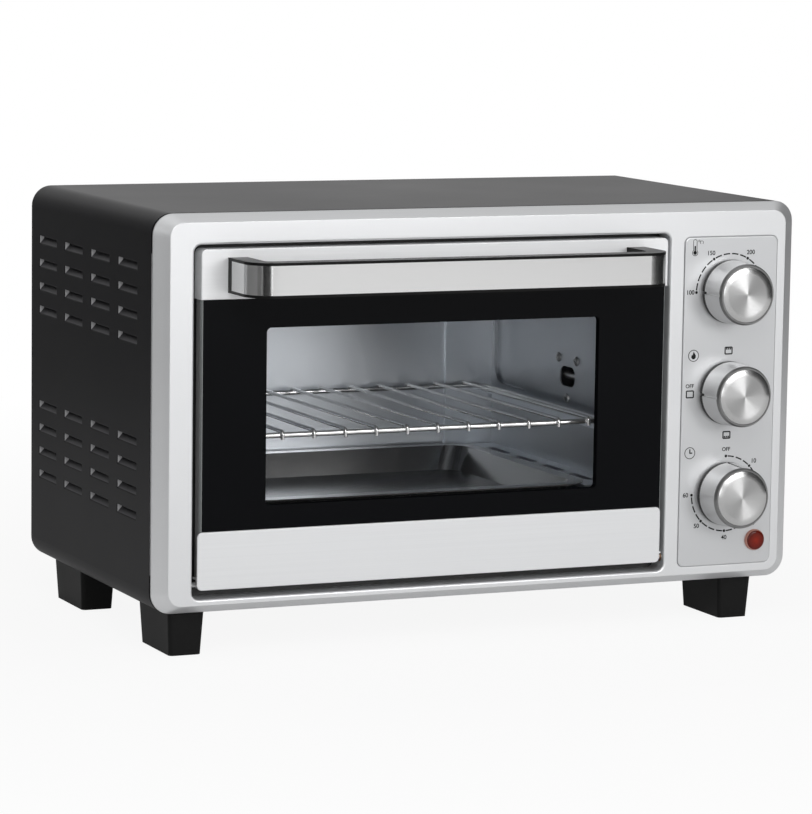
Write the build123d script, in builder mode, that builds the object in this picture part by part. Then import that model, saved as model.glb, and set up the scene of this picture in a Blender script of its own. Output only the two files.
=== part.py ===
from build123d import *
import os

os.makedirs("parts", exist_ok=True)

# Driving dimensions in millimetres. Heights are above the table, depths are behind the
# fascia's flat front, and everything in the oven is centred on the door opening.

# Body
body_width = 400.0
body_height = 223.0
body_depth = 215.7
body_corner = 12.0
foot_height = 25.4
casing_sheet = 1.0
casing_return = 50.0  # inward flange along the bottom of each side
casing_lip = 9.0  # inward lip round the rear
slide_gap = 0.2  # between fixed pieces that fit into each other

# Louvres, pressed inwards and open at the top
louvre_length = 32.0
louvre_height = 5.0
louvre_depth = 2.4
louvre_taper = 2.5  # how much each end slopes in
louvre_lip = 1.2  # height left at the scoop's inner end
louvre_pitch_depth = 46.2
louvre_pitch_height = 13.9
louvre_columns = 4
louvre_rows = 4
louvre_shift = 3.6  # behind the middle of the casing
louvre_rises = (59.8, -38.7)  # the two blocks, from the body's mid height

# Fascia
fascia_depth = 9.0
fascia_wall = 2.0
fascia_rim = 9.0
fascia_lip_depth = 5.0
fascia_lip_wall = 1.5
seam_width = 2.0  # shadow groove between the fascia and the casing
seam_deep = 0.8
bevel_side = 8.0
bevel_top = 4.8
bevel_corner = 8.0
facet_depth = 2.8
facet_side = 5.0
facet_top = 2.8
facet_corner = 9.5

# Door opening in the fascia, by the borders round it
border_left = 22.1
border_right = 83.5
border_bottom = 8.1
border_top = 17.0
opening_corner = 4.5
opening_return = 13.5
opening_edge = 1.2

# Control panel, knobs and lamp
panel_inset = 43.9  # panel's middle from the body's right side
panel_drop = 5.0  # panel's middle below the body's
panel_width = 61.6
panel_margin = 14.35
panel_corner = 4.0
panel_recess = 0.8
panel_proud = 0.8
panel_edge = 0.7
knob_shift = 0.5
knob_rise = 5.1  # middle knob above the panel's middle
knob_pitch = 59.6
knob_base_radius = 18.7
knob_face_radius = 16.9
knob_shoulder_radius = 17.8
knob_shoulder = 1.4
knob_height = 20.4
knob_gap = 1.0
knob_wall = 2.4
knob_front = 4.0
knob_cap = 1.0
knob_cap_radius = 16.2
knob_hub_radius = 6.5
knob_hub_start = 5.0
knob_line_width = 1.6
knob_line_depth = 0.5
shaft_radius = 3.0
shaft_end = 16.2  # how far the shaft reaches into the knob
shaft_seat = 12.0  # how deep the shaft sits in its control
running_fit = 0.05
bush_radius = 4.5
bush_reach = 4.0
nut_flats = 12.0
nut_height = 2.5
lamp_offset = (19.7, -83.0)  # from the panel's middle
lamp_radius = 6.3
lamp_neck_radius = 4.9
lamp_dome = 2.6
lamp_round = 2.0
lamp_body_radius = 4.6
lamp_body_length = 18.0

# Controls behind the panel
blade_width = 6.3
blade_thick = 0.8
blade_length = 8.0
block_corner = 3.0
thermostat_width = 38.0
thermostat_height = 30.0
thermostat_depth = 15.0
thermostat_disc_radius = 10.0
thermostat_disc_depth = 6.0
thermostat_blade_span = 27.0
switch_size = 34.0
switch_depth = 18.0
switch_blade_span = 17.0
timer_radius = 26.0
timer_depth = 22.0
timer_bell_radius = 22.0
timer_bell_depth = 7.0
timer_bell_slope = 30.0
timer_blade_span = 46.0

# Door
door_gap = 3.0
door_shift = 1.3  # the door hangs this much right of its opening's middle
door_top_gap = 2.6
door_foot_gap = 5.1  # below the bottom trim
door_depth = 11.0
trim_sheet = 1.0
trim_corner = 3.0
trim_edge = 0.6
top_trim_height = 28.0
bottom_trim_height = 32.7
bottom_trim_gap = 2.9
glass_thickness = 4.0
glass_lap = 8.0
glass_foot = 6.2  # from the bottom trim's underside to its glass shelf
frame_sheet = 1.2
window_side = 39.6  # dark border round the window
window_above = 16.4
window_below = 12.8
window_corner = 2.5
hinge_depth = 6.0
hinge_rise = 2.6  # above the bottom trim's underside
hinge_radius = 1.5
hinge_bush_radius = 3.0
hinge_bush_flange = 3.8
hinge_lug = 12.0

# Handle
handle_inset = 15.5
handle_reach = 38.0
handle_bar = 10.0
handle_leg = 11.5
handle_tall = 19.5
handle_drop = 0.5
handle_corner = 15.0
handle_inner_corner = 5.0
strip_sheet = 1.0
strip_tall = 16.3
strip_from_door = 5.5
handle_screw_radius = 1.9
handle_screw_head = 3.4
handle_screw_head_height = 2.2
handle_screw_reach = 14.0

# Oven cavity
cavity_inset = 19.2  # side walls inside the door opening
cavity_floor_rise = 11.5
cavity_roof_drop = 16.4
cavity_rear_space = 15.7
liner_sheet = 0.8
flange_over = 2.0  # how far the front flanges reach past the fascia's opening
rib_depth = 2.5
rib_width = 21.5
rib_inset = 22.0
emboss_raise = 2.0
emboss_size = 56.0
emboss_corner = 12.0
emboss_from_back = 32.0
emboss_above_floor = 105.0

# Rails, rack and tray
rail_front_gap = 4.5
rail_back_gap = 3.0
rest_gap = 0.3  # between a loose piece and what it rests on
tray_rail_rise = 38.5
tray_rail_width = 24.0
tray_rail_flange = 10.0
tray_rail_slot = 28.0
tray_rail_slot_width = 5.0
tray_rail_slots = 4
tray_rail_slot_pitch = 38.0
tray_rail_slot_inset = 11.0
rack_rail_width = 14.0
rack_rail_flange = 8.0
rack_rise = 75.8
rack_bar_radius = 1.6
rack_wire_radius = 1.1
rack_weld = 0.5
rack_wires = 12
rack_wire_pitch = 19.2
rack_side_gap = 10.5
rack_front_gap = 7.5
rack_back_gap = 6.0
rack_corner = 8.0
rack_drop = 4.5
tray_sheet = 0.8
tray_rest = 6.0  # how far the rim lies on its rails
tray_rim = 7.5
tray_front_gap = 4.5
tray_back_gap = 4.0
tray_deep = 15.0
tray_taper = 6.0
tray_corner = 20.0

# Heaters
heater_radius = 3.25
heater_spread = 90.0
heater_from_roof = 12.0
heater_from_floor = 13.0
heater_overhang = 14.0
heater_pin_radius = 1.6
heater_pin_length = 6.0
end_bush_radius = 5.0
end_bush_flange = 7.0
end_bush_flange_height = 2.0
end_bush_length = 8.0
bush_fit = 0.1

# Thermostat sensor on the right wall
sensor_forward = 13.8  # in front of the cavity's middle
sensor_rise = 7.5  # above the cavity's middle
sensor_window_length = 20.0
sensor_window_height = 12.0
sensor_window_corner = 5.0
sensor_pan_length = 24.0
sensor_pan_height = 16.0
sensor_pan_deep = 9.0
sensor_flange_length = 34.0
sensor_flange_height = 36.0
sensor_flange_drop = 1.5
sensor_sheet = 1.0
sensor_bulb_radius = 2.4
sensor_bulb_length = 28.0
sensor_screws = ((-12.0, 10.5), (12.0, 10.5), (0.0, -13.0))
sensor_screw_radius = 1.5
sensor_screw_head = 2.8
sensor_screw_head_height = 1.4
capillary_radius = 0.8
capillary_bend = 9.0

# Rear, base and feet
rear_sheet = 1.0
rear_slot = 36.0
rear_slot_width = 4.0
rear_slot_columns = 3
rear_slot_rows = 5
rear_slot_pitch_across = 48.0
rear_slot_pitch_up = 10.0
rear_slot_rises = (63.0, -47.0)
rear_screw_inset = 4.8
gland_inset = 50.0
gland_rise = 32.6
gland_radius = 6.0
gland_flange = 8.5
gland_bore = 3.6
gland_proud = 3.0
base_sheet = 1.0
base_slot = 60.0
base_slot_width = 5.0
base_slots = 4
base_slot_pitch = 40.0
foot_left_inset = 23.6
foot_right_inset = 29.0
foot_front_inset = 37.1
foot_rear_inset = 30.5
foot_bottom_width = 18.8
foot_bottom_length = 46.4
foot_top_width = 21.5
foot_top_length = 50.0
foot_corner = 2.5
foot_pocket_radius = 4.6
foot_pocket = 14.0
foot_screw_radius = 2.0
foot_screw_head = 4.0
foot_screw_head_height = 3.0
screw_over = 2.0  # screw tip beyond the last sheet
screw_hole_gap = 0.15
small_screw_radius = 1.5
small_screw_head = 3.0
small_screw_head_height = 1.8
base_screw_inset = 40.0
base_screw_pitch = 35.0
base_screws_a_side = 3

# Wiring
terminal_length = 44.0
terminal_depth = 18.0
terminal_height = 16.0
terminal_recess = 5.0
terminal_recess_radius = 3.2
terminal_inset = 50.0
terminal_from_back = 50.0
lead_radius = 1.2
lead_bend = 6.0

# Places worked out from the driving dimensions
front_y = handle_reach - (handle_reach + body_depth + gland_proud) / 2
side_x = body_width / 2
body_bottom = foot_height
body_top = foot_height + body_height
body_mid = foot_height + body_height / 2
opening_width = body_width - border_left - border_right
opening_height = body_height - border_bottom - border_top
oven_x = border_left + opening_width / 2 - side_x
opening_low = body_bottom + border_bottom
opening_high = opening_low + opening_height
opening_mid = (opening_low + opening_high) / 2
panel_x = side_x - panel_inset
panel_mid = body_mid - panel_drop
panel_height = body_height - 2 * panel_margin
knob_x = panel_x - knob_shift
knob_heights = {
    "temp": panel_mid + knob_rise + knob_pitch,
    "mode": panel_mid + knob_rise,
    "timer": panel_mid + knob_rise - knob_pitch,
}
lamp_x = panel_x + lamp_offset[0]
lamp_height = panel_mid + lamp_offset[1]
cavity_width = opening_width - 2 * cavity_inset
cavity_half = cavity_width / 2
cavity_front = opening_return
cavity_back = body_depth - cavity_rear_space
cavity_middle = (cavity_front + cavity_back) / 2
cavity_low = opening_low + cavity_floor_rise
cavity_high = opening_high - cavity_roof_drop
cavity_mid = (cavity_low + cavity_high) / 2
foot_places = (foot_left_inset - side_x, side_x - foot_right_inset)
foot_depths = (foot_front_inset, body_depth - foot_rear_inset)
knob_spots = [(knob_x, height) for height in knob_heights.values()]
foot_spots = [(place, front_y + depth) for place in foot_places for depth in foot_depths]
base_screw_spots = [
    (
        side * (side_x - base_screw_inset),
        front_y + body_depth / 2 + (place - (base_screws_a_side - 1) / 2) * base_screw_pitch,
    )
    for side in (-1, 1)
    for place in range(base_screws_a_side)
]
rear_screw_across = side_x - rear_screw_inset
rear_screw_up = body_height / 3
rear_screw_spots = [
    (side * rear_screw_across, body_mid + up * rear_screw_up) for side in (-1, 1) for up in (-1, 1)
] + [(side * rear_screw_across / 2, body_top - rear_screw_inset) for side in (-1, 1)]
door_x = oven_x + door_shift
door_high = opening_high - door_top_gap
door_width = opening_width - 2 * door_gap
top_trim_low = door_high - top_trim_height
bottom_trim_low = opening_low + door_foot_gap
bottom_trim_high = bottom_trim_low + bottom_trim_height
bottom_trim_width = opening_width - 2 * bottom_trim_gap
shelf_height = bottom_trim_low + glass_foot
hinge_height = bottom_trim_low + hinge_rise
glass_front = trim_sheet + slide_gap
glass_low = shelf_height + slide_gap
glass_high = top_trim_low + glass_lap
pane_width = door_width - 2 * trim_sheet - 2 * slide_gap
frame_front = glass_front + glass_thickness + slide_gap
frame_high = door_high - trim_sheet - slide_gap
window_low = bottom_trim_high + window_below
window_high = top_trim_low - window_above
handle_length = door_width - 2 * handle_inset
handle_mid = door_high - top_trim_height / 2 - handle_drop
handle_screw_x = (handle_length - handle_leg) / 2
handle_screw_spots = [(door_x + side * handle_screw_x, handle_mid) for side in (-1, 1)]


def upright(depth):
    """Upright plane at a depth behind the fascia's front, with local axes +X and +Z."""
    return Plane.XZ.offset(-(front_y + depth))


def keep(builder, name):
    builder.part.label = name
    export_step(builder.part, f"parts/{name}.step")


# Front fascia: a bevelled moulding with the door opening and the control recess
with BuildPart() as front_fascia:
    seam_start = fascia_depth - seam_width
    fascia_outlines = (
        (seam_start, 0, 0, body_corner),
        (facet_depth, facet_side, facet_top, facet_corner),
        (0, bevel_side, bevel_top, bevel_corner),
    )
    for depth, inset_side, inset_top, corner in fascia_outlines:
        with BuildSketch(upright(depth)):
            with Locations((0, body_mid)):
                RectangleRounded(body_width - 2 * inset_side, body_height - 2 * inset_top, corner)
    loft(ruled=True)
    with BuildSketch(upright(seam_start)):
        with Locations((0, body_mid)):
            RectangleRounded(body_width - 2 * seam_deep, body_height - 2 * seam_deep, body_corner - seam_deep)
    extrude(amount=-seam_width)
    with BuildSketch(upright(fascia_wall)):
        with Locations((0, body_mid)):
            RectangleRounded(body_width - 2 * fascia_rim, body_height - 2 * fascia_rim, opening_corner)
    extrude(amount=-(fascia_depth - fascia_wall), mode=Mode.SUBTRACT)
    # Lip that locates the casing
    lip_inset = casing_sheet + slide_gap
    lip_inner = lip_inset + fascia_lip_wall
    with BuildSketch(upright(fascia_depth)):
        with Locations((0, body_mid)):
            RectangleRounded(body_width - 2 * lip_inset, body_height - 2 * lip_inset, body_corner - lip_inset)
            RectangleRounded(
                body_width - 2 * lip_inner,
                body_height - 2 * lip_inner,
                body_corner - lip_inner,
                mode=Mode.SUBTRACT,
            )
    extrude(amount=-fascia_lip_depth)
    # Return wall round the door opening
    with BuildSketch(upright(fascia_wall)):
        with Locations((oven_x, opening_mid)):
            RectangleRounded(
                opening_width + 2 * fascia_wall,
                opening_height + 2 * fascia_wall,
                opening_corner + fascia_wall,
            )
    extrude(amount=-(opening_return - fascia_wall))
    with BuildSketch(upright(0)):
        with Locations((oven_x, opening_mid)):
            RectangleRounded(opening_width, opening_height, opening_corner)
    extrude(amount=-opening_return, mode=Mode.SUBTRACT)
    flat_front = front_fascia.faces().sort_by(Axis.Y)[0]
    fillet(flat_front.inner_wires()[0].edges(), opening_edge)
    with BuildSketch(upright(0)):
        with Locations((panel_x, panel_mid)):
            RectangleRounded(panel_width, panel_height, panel_corner)
    extrude(amount=-panel_recess, mode=Mode.SUBTRACT)
    with BuildSketch(upright(0)):
        with Locations(*knob_spots):
            Circle(bush_radius + slide_gap)
        with Locations((lamp_x, lamp_height)):
            Circle(lamp_neck_radius + slide_gap)
    extrude(amount=-fascia_depth, mode=Mode.SUBTRACT)
    with BuildSketch(Plane.YZ.offset(oven_x)):
        with Locations((front_y + hinge_depth, hinge_height)):
            Circle(hinge_bush_radius + bush_fit)
    extrude(amount=opening_width / 2 + 2 * fascia_wall, both=True, mode=Mode.SUBTRACT)
keep(front_fascia, "front_fascia")

# Control panel: a thin plate set in the fascia's recess
with BuildPart() as control_panel:
    with BuildSketch(upright(panel_recess)):
        with Locations((panel_x, panel_mid)):
            RectangleRounded(
                panel_width - 2 * slide_gap, panel_height - 2 * slide_gap, panel_corner - slide_gap
            )
        with Locations(*knob_spots):
            Circle(bush_radius + slide_gap, mode=Mode.SUBTRACT)
        with Locations((lamp_x, lamp_height)):
            Circle(lamp_neck_radius + slide_gap, mode=Mode.SUBTRACT)
    extrude(amount=panel_recess + panel_proud)
    fillet(control_panel.faces().sort_by(Axis.Y)[0].outer_wire().edges(), panel_edge)
keep(control_panel, "control_panel")


# Louvre on the left side: a scoop with sloping ends and floor, open at the top
def louvre_block(wall):
    with BuildPart() as block:
        with BuildSketch(Plane.YZ.offset(-side_x)):
            with Locations((0, -wall / 2)):
                Rectangle(louvre_length + 2 * wall, louvre_height + wall)
        with BuildSketch(Plane.YZ.offset(-side_x + louvre_depth + wall)):
            with Locations((0, (louvre_height - louvre_lip - wall) / 2)):
                Rectangle(louvre_length - 2 * louvre_taper + 2 * wall, louvre_lip + wall)
        loft(ruled=True)
    return block.part


louvre_shell = louvre_block(casing_sheet)
louvre_void = louvre_block(0)
louvre_middle = front_y + (fascia_depth + body_depth) / 2 + louvre_shift
louvre_spots = [
    (
        louvre_middle + (column - (louvre_columns - 1) / 2) * louvre_pitch_depth,
        body_mid + rise + (row - (louvre_rows - 1) / 2) * louvre_pitch_height,
    )
    for rise in louvre_rises
    for row in range(louvre_rows)
    for column in range(louvre_columns)
]
louvre_places = [Location((0, y, z), (0, 0, turn)) for turn in (0, 180) for y, z in louvre_spots]

# Outer casing: one folded sheet over both sides and the top, with bottom flanges and a rear lip
with BuildPart() as outer_casing:
    with BuildSketch(upright(fascia_depth)):
        with Locations((0, body_mid)):
            RectangleRounded(body_width, body_height, body_corner)
            RectangleRounded(
                body_width - 2 * casing_sheet,
                body_height - 2 * casing_sheet,
                body_corner - casing_sheet,
                mode=Mode.SUBTRACT,
            )
        with Locations((0, body_bottom)):
            Rectangle(body_width - 2 * casing_return, 4 * casing_sheet, mode=Mode.SUBTRACT)
    extrude(amount=-(body_depth - fascia_depth))
    with BuildSketch(upright(body_depth)):
        with Locations((0, body_mid)):
            RectangleRounded(body_width, body_height, body_corner)
            Rectangle(body_width - 2 * casing_lip, body_height - 2 * casing_lip, mode=Mode.SUBTRACT)
        with Locations((0, body_bottom)):
            Rectangle(body_width - 2 * casing_return, 4 * casing_lip, mode=Mode.SUBTRACT)
    extrude(amount=casing_sheet)
    with Locations(*louvre_places):
        add(louvre_shell)
    with Locations(*louvre_places):
        add(louvre_void, mode=Mode.SUBTRACT)
    with BuildSketch(Plane.XY.offset(body_bottom)):
        with Locations(*foot_spots):
            Circle(foot_screw_radius + screw_hole_gap)
        with Locations(*base_screw_spots):
            Circle(small_screw_radius + screw_hole_gap)
    extrude(amount=casing_sheet, mode=Mode.SUBTRACT)
    with BuildSketch(upright(body_depth)):
        with Locations(*rear_screw_spots):
            Circle(small_screw_radius + screw_hole_gap)
    extrude(amount=casing_sheet, mode=Mode.SUBTRACT)
keep(outer_casing, "outer_casing")

# Rear panel, inside the casing's rear lip
rear_inset = casing_sheet + slide_gap
rear_face = body_depth - casing_sheet
gland_x = side_x - gland_inset
gland_height = body_bottom + gland_rise
with BuildPart() as rear_panel:
    with BuildSketch(upright(rear_face)):
        with Locations((0, body_mid)):
            RectangleRounded(
                body_width - 2 * rear_inset, body_height - 2 * rear_inset, body_corner - rear_inset
            )
        with Locations(*[(oven_x, body_mid + rise) for rise in rear_slot_rises]):
            with GridLocations(rear_slot_pitch_across, rear_slot_pitch_up, rear_slot_columns, rear_slot_rows):
                SlotOverall(rear_slot, rear_slot_width, mode=Mode.SUBTRACT)
        with Locations(*rear_screw_spots):
            Circle(small_screw_radius + screw_hole_gap, mode=Mode.SUBTRACT)
        with Locations((gland_x, gland_height)):
            Circle(gland_radius + slide_gap, mode=Mode.SUBTRACT)
    extrude(amount=rear_sheet)
keep(rear_panel, "rear_panel")

with BuildPart() as rear_screws:
    for radius, reach in (
        (small_screw_head, -small_screw_head_height),
        (small_screw_radius, casing_sheet + rear_sheet + screw_over),
    ):
        with BuildSketch(upright(body_depth)):
            with Locations(*rear_screw_spots):
                Circle(radius)
        extrude(amount=reach)
keep(rear_screws, "rear_screws")

# Cord gland: a bush that grips the rear panel on both faces
gland_out = casing_sheet + gland_proud
gland_plane = Plane((gland_x, front_y + rear_face, gland_height), x_dir=(0, 1, 0), z_dir=(0, 0, 1))
with BuildPart() as cord_gland:
    with BuildSketch(gland_plane):
        with BuildLine():
            Polyline(
                (gland_out, -gland_bore),
                (gland_out, -gland_radius),
                (gland_out / 3, -gland_flange),
                (0, -gland_flange),
                (0, -gland_radius),
                (-rear_sheet, -gland_radius),
                (-rear_sheet, -gland_flange),
                (-rear_sheet - gland_out / 3, -gland_flange),
                (-rear_sheet - gland_out, -gland_radius),
                (-rear_sheet - gland_out, -gland_bore),
                close=True,
            )
        make_face()
    revolve(axis=Axis((gland_x, front_y, gland_height), (0, 1, 0)))
keep(cord_gland, "cord_gland")

# Base plate, resting on the casing's bottom flanges
base_low = body_bottom + casing_sheet
base_high = base_low + base_sheet
base_front = fascia_depth + fascia_lip_depth + slide_gap
base_back = rear_face - rear_sheet - slide_gap
with BuildPart() as base_plate:
    with BuildSketch(Plane.XY.offset(base_low)):
        with Locations((0, front_y + (base_front + base_back) / 2)):
            Rectangle(body_width - 2 * body_corner, base_back - base_front)
            with GridLocations(2 * base_slot, base_slot_pitch, 2, base_slots):
                SlotOverall(base_slot, base_slot_width, mode=Mode.SUBTRACT)
        with Locations(*foot_spots):
            Circle(foot_screw_radius + screw_hole_gap, mode=Mode.SUBTRACT)
        with Locations(*base_screw_spots):
            Circle(small_screw_radius + screw_hole_gap, mode=Mode.SUBTRACT)
    extrude(amount=base_sheet)
keep(base_plate, "base_plate")

with BuildPart() as base_screws:
    for radius, reach in (
        (small_screw_head, -small_screw_head_height),
        (small_screw_radius, casing_sheet + base_sheet + screw_over),
    ):
        with BuildSketch(Plane.XY.offset(body_bottom)):
            with Locations(*base_screw_spots):
                Circle(radius)
        extrude(amount=reach)
keep(base_screws, "base_screws")

# Feet: tapered blocks with a pocket for the fixing screw
foot_names = ("foot_front_left", "foot_rear_left", "foot_front_right", "foot_rear_right")
for foot_name, spot in zip(foot_names, foot_spots):
    with BuildPart() as foot:
        for height, width, length in (
            (0, foot_bottom_width, foot_bottom_length),
            (foot_height, foot_top_width, foot_top_length),
        ):
            with BuildSketch(Plane.XY.offset(height)):
                with Locations(spot):
                    RectangleRounded(width, length, foot_corner)
        loft(ruled=True)
        for radius, reach in (
            (foot_pocket_radius, foot_pocket),
            (foot_screw_radius + screw_hole_gap, foot_height),
        ):
            with BuildSketch(Plane.XY):
                with Locations(spot):
                    Circle(radius)
            extrude(amount=reach, mode=Mode.SUBTRACT)
    keep(foot, foot_name)

with BuildPart() as foot_screws:
    for radius, reach in (
        (foot_screw_head, -foot_screw_head_height),
        (foot_screw_radius, base_high + screw_over - foot_pocket),
    ):
        with BuildSketch(Plane.XY.offset(foot_pocket)):
            with Locations(*foot_spots):
                Circle(radius)
        extrude(amount=reach)
keep(foot_screws, "foot_screws")

# Oven cavity: five sheets, four of them with a front flange behind the fascia's opening
flange_half = opening_width / 2 + fascia_wall + flange_over
flange_low = opening_low - fascia_wall - flange_over
flange_high = opening_high + fascia_wall + flange_over
heater_depths = (cavity_middle - heater_spread / 2, cavity_middle + heater_spread / 2)
upper_heater_height = cavity_high - heater_from_roof
lower_heater_height = cavity_low + heater_from_floor
heater_heights = (upper_heater_height, lower_heater_height)
heater_spots = [(front_y + depth, height) for depth in heater_depths for height in heater_heights]


def cavity_side(side):
    """Side sheet with its front flange and heater holes; side is -1 for left and 1 for right."""
    wall_x = oven_x + side * cavity_half
    with BuildPart() as wall:
        with BuildSketch(Plane.YZ.offset(wall_x)):
            with Locations((front_y + cavity_middle, cavity_mid)):
                Rectangle(cavity_back - cavity_front, cavity_high - cavity_low)
            with Locations(*heater_spots):
                Circle(end_bush_radius + bush_fit, mode=Mode.SUBTRACT)
        extrude(amount=side * liner_sheet)
        with BuildSketch(upright(cavity_front)):
            with Locations((oven_x + side * (cavity_half + flange_half) / 2, (flange_low + flange_high) / 2)):
                Rectangle(flange_half - cavity_half, flange_high - flange_low)
        extrude(amount=-liner_sheet)
    return wall


keep(cavity_side(-1), "cavity_left_wall")

# The right sheet also has a pressed panel near the back and the thermostat's window
right_inner = oven_x + cavity_half
right_outer = right_inner + liner_sheet
sensor_depth = cavity_middle - sensor_forward
sensor_height = cavity_mid + sensor_rise
sensor_spot = (front_y + sensor_depth, sensor_height)
plain_right_wall = cavity_side(1)
with BuildPart() as cavity_right_wall:
    add(plain_right_wall.part)
    for grow, start, mode in ((liner_sheet, right_outer, Mode.ADD), (0, right_inner, Mode.SUBTRACT)):
        with BuildSketch(Plane.YZ.offset(start)):
            with Locations((front_y + cavity_back - emboss_from_back, cavity_low + emboss_above_floor)):
                RectangleRounded(emboss_size + 2 * grow, emboss_size + 2 * grow, emboss_corner + grow)
        extrude(amount=emboss_raise, mode=mode)
    with BuildSketch(Plane.YZ.offset(right_inner)):
        with Locations(sensor_spot):
            RectangleRounded(sensor_window_length, sensor_window_height, sensor_window_corner)
            with Locations(*sensor_screws):
                Circle(sensor_screw_radius + screw_hole_gap)
    extrude(amount=liner_sheet, mode=Mode.SUBTRACT)
keep(cavity_right_wall, "cavity_right_wall")


def cavity_sheet(low, flange_start, flange_end):
    """Roof or floor sheet, notched at the front so that its flange clears the side flanges."""
    with BuildPart() as sheet:
        with BuildSketch(Plane.XY.offset(low)):
            with Locations((oven_x, front_y + cavity_middle)):
                Rectangle(cavity_width, cavity_back - cavity_front)
            with Locations((oven_x, front_y + cavity_middle + liner_sheet / 2)):
                Rectangle(cavity_width + 2 * liner_sheet, cavity_back - cavity_front - liner_sheet)
        extrude(amount=liner_sheet)
        with BuildSketch(upright(cavity_front)):
            with Locations((oven_x, (flange_start + flange_end) / 2)):
                Rectangle(cavity_width, abs(flange_end - flange_start))
        extrude(amount=-liner_sheet)
    return sheet


keep(cavity_sheet(cavity_high, cavity_high, flange_high), "cavity_roof")
keep(cavity_sheet(cavity_low - liner_sheet, cavity_low, flange_low), "cavity_floor")

# Back sheet with two upright ribs pressed into the oven
with BuildPart() as cavity_back_wall:
    with BuildSketch(upright(cavity_back)):
        with Locations((oven_x, cavity_mid)):
            Rectangle(cavity_width + 2 * liner_sheet, cavity_high - cavity_low + 2 * liner_sheet)
    extrude(amount=-liner_sheet)
    rib_height = cavity_high - cavity_low - 2 * slide_gap
    rib_back = cavity_back + liner_sheet
    for start, narrower, mode in ((cavity_back, 0, Mode.ADD), (rib_back, liner_sheet, Mode.SUBTRACT)):
        with BuildSketch(upright(start)):
            with Locations((oven_x, cavity_mid)):
                with GridLocations(cavity_width - 2 * rib_inset, 0, 2, 1):
                    Rectangle(rib_width - 2 * narrower, rib_height - 2 * narrower)
        extrude(amount=rib_depth, mode=mode)
keep(cavity_back_wall, "cavity_back_wall")

# Rails on the side walls: angle strips, the tray's slotted and the rack's plain
rail_front = cavity_front + rail_front_gap
rail_back = cavity_back - rail_back_gap
rack_bar_height = cavity_low + rack_rise
rack_rail_top = rack_bar_height - rack_bar_radius - rest_gap
tray_rail_top = cavity_low + tray_rail_rise


def side_rail(side, top, width, flange):
    wall_x = oven_x + side * cavity_half
    with BuildPart() as rail:
        with BuildSketch(upright(rail_front)):
            with Locations((wall_x - side * width / 2, top - liner_sheet / 2)):
                Rectangle(width, liner_sheet)
            with Locations((wall_x - side * liner_sheet / 2, top - flange / 2)):
                Rectangle(liner_sheet, flange)
        extrude(amount=-(rail_back - rail_front))
    return rail


for side, side_name in ((-1, "left"), (1, "right")):
    keep(side_rail(side, rack_rail_top, rack_rail_width, rack_rail_flange), f"rack_rail_{side_name}")
    plain_rail = side_rail(side, tray_rail_top, tray_rail_width, tray_rail_flange)
    slot_x = oven_x + side * (cavity_half - tray_rail_slot_inset)
    with BuildPart() as tray_rail:
        add(plain_rail.part)
        with BuildSketch(Plane.XY.offset(tray_rail_top)):
            with Locations((slot_x, front_y + (rail_front + rail_back) / 2)):
                with GridLocations(0, tray_rail_slot_pitch, 1, tray_rail_slots):
                    SlotOverall(tray_rail_slot, tray_rail_slot_width, rotation=90)
        extrude(amount=-liner_sheet, mode=Mode.SUBTRACT)
    keep(tray_rail, f"tray_rail_{side_name}")

# Wire rack: a bent outer bar with wires welded on top, each bent down over the front bar
rack_half_width = cavity_half - rack_side_gap
rack_front = cavity_front + rack_front_gap
rack_back = cavity_back - rack_back_gap
rack_middle = (rack_front + rack_back) / 2
wire_height = rack_bar_height + rack_bar_radius + rack_wire_radius - rack_weld
wire_nose = rack_front - rack_bar_radius - rack_wire_radius + rack_weld
with BuildPart() as rack_wire:
    with BuildLine(Plane.YZ.offset(oven_x)):
        FilletPolyline(
            (front_y + rack_back, wire_height),
            (front_y + wire_nose, wire_height),
            (front_y + wire_nose, wire_height - rack_drop),
            radius=2 * rack_wire_radius,
        )
    with BuildSketch(upright(rack_back)):
        with Locations((oven_x, wire_height)):
            Circle(rack_wire_radius)
    sweep()
with BuildSketch(Plane.XY.offset(rack_bar_height)) as rack_outline:
    with Locations((oven_x, front_y + rack_middle)):
        RectangleRounded(2 * rack_half_width, rack_back - rack_front, rack_corner)
with BuildPart() as wire_rack:
    with BuildSketch(upright(rack_middle)):
        with Locations((oven_x - rack_half_width, rack_bar_height)):
            Circle(rack_bar_radius)
    sweep(path=rack_outline.sketch.face().outer_wire())
    with GridLocations(rack_wire_pitch, 0, rack_wires, 1):
        add(rack_wire.part)
keep(wire_rack, "wire_rack")

# Baking tray: a tapered pan with a flat rim that rests on the tray rails
tray_width = 2 * (cavity_half - tray_rail_width + tray_rest)
tray_front = cavity_front + tray_front_gap
tray_back = cavity_back - tray_back_gap
tray_length = tray_back - tray_front
tray_spot = (oven_x, front_y + (tray_front + tray_back) / 2)
tray_top = tray_rail_top + rest_gap + tray_sheet
pan_width = tray_width - 2 * tray_rim
pan_length = tray_length - 2 * tray_rim
with BuildPart() as baking_tray:
    with BuildSketch(Plane.XY.offset(tray_top - tray_sheet)):
        with Locations(tray_spot):
            RectangleRounded(tray_width, tray_length, tray_corner)
    extrude(amount=tray_sheet)
    for wall, mode in ((0, Mode.ADD), (tray_sheet, Mode.SUBTRACT)):
        for height, inset in ((tray_top, wall), (tray_top - tray_deep + wall, wall + tray_taper)):
            with BuildSketch(Plane.XY.offset(height)):
                with Locations(tray_spot):
                    RectangleRounded(pan_width - 2 * inset, pan_length - 2 * inset, tray_corner - tray_rim)
        loft(ruled=True, mode=mode)
keep(baking_tray, "baking_tray")

# Heater rods with terminal pins, carried in ceramic bushes through the side walls
rod_half = cavity_half + liner_sheet + heater_overhang
pin_half = rod_half + heater_pin_length


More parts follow.
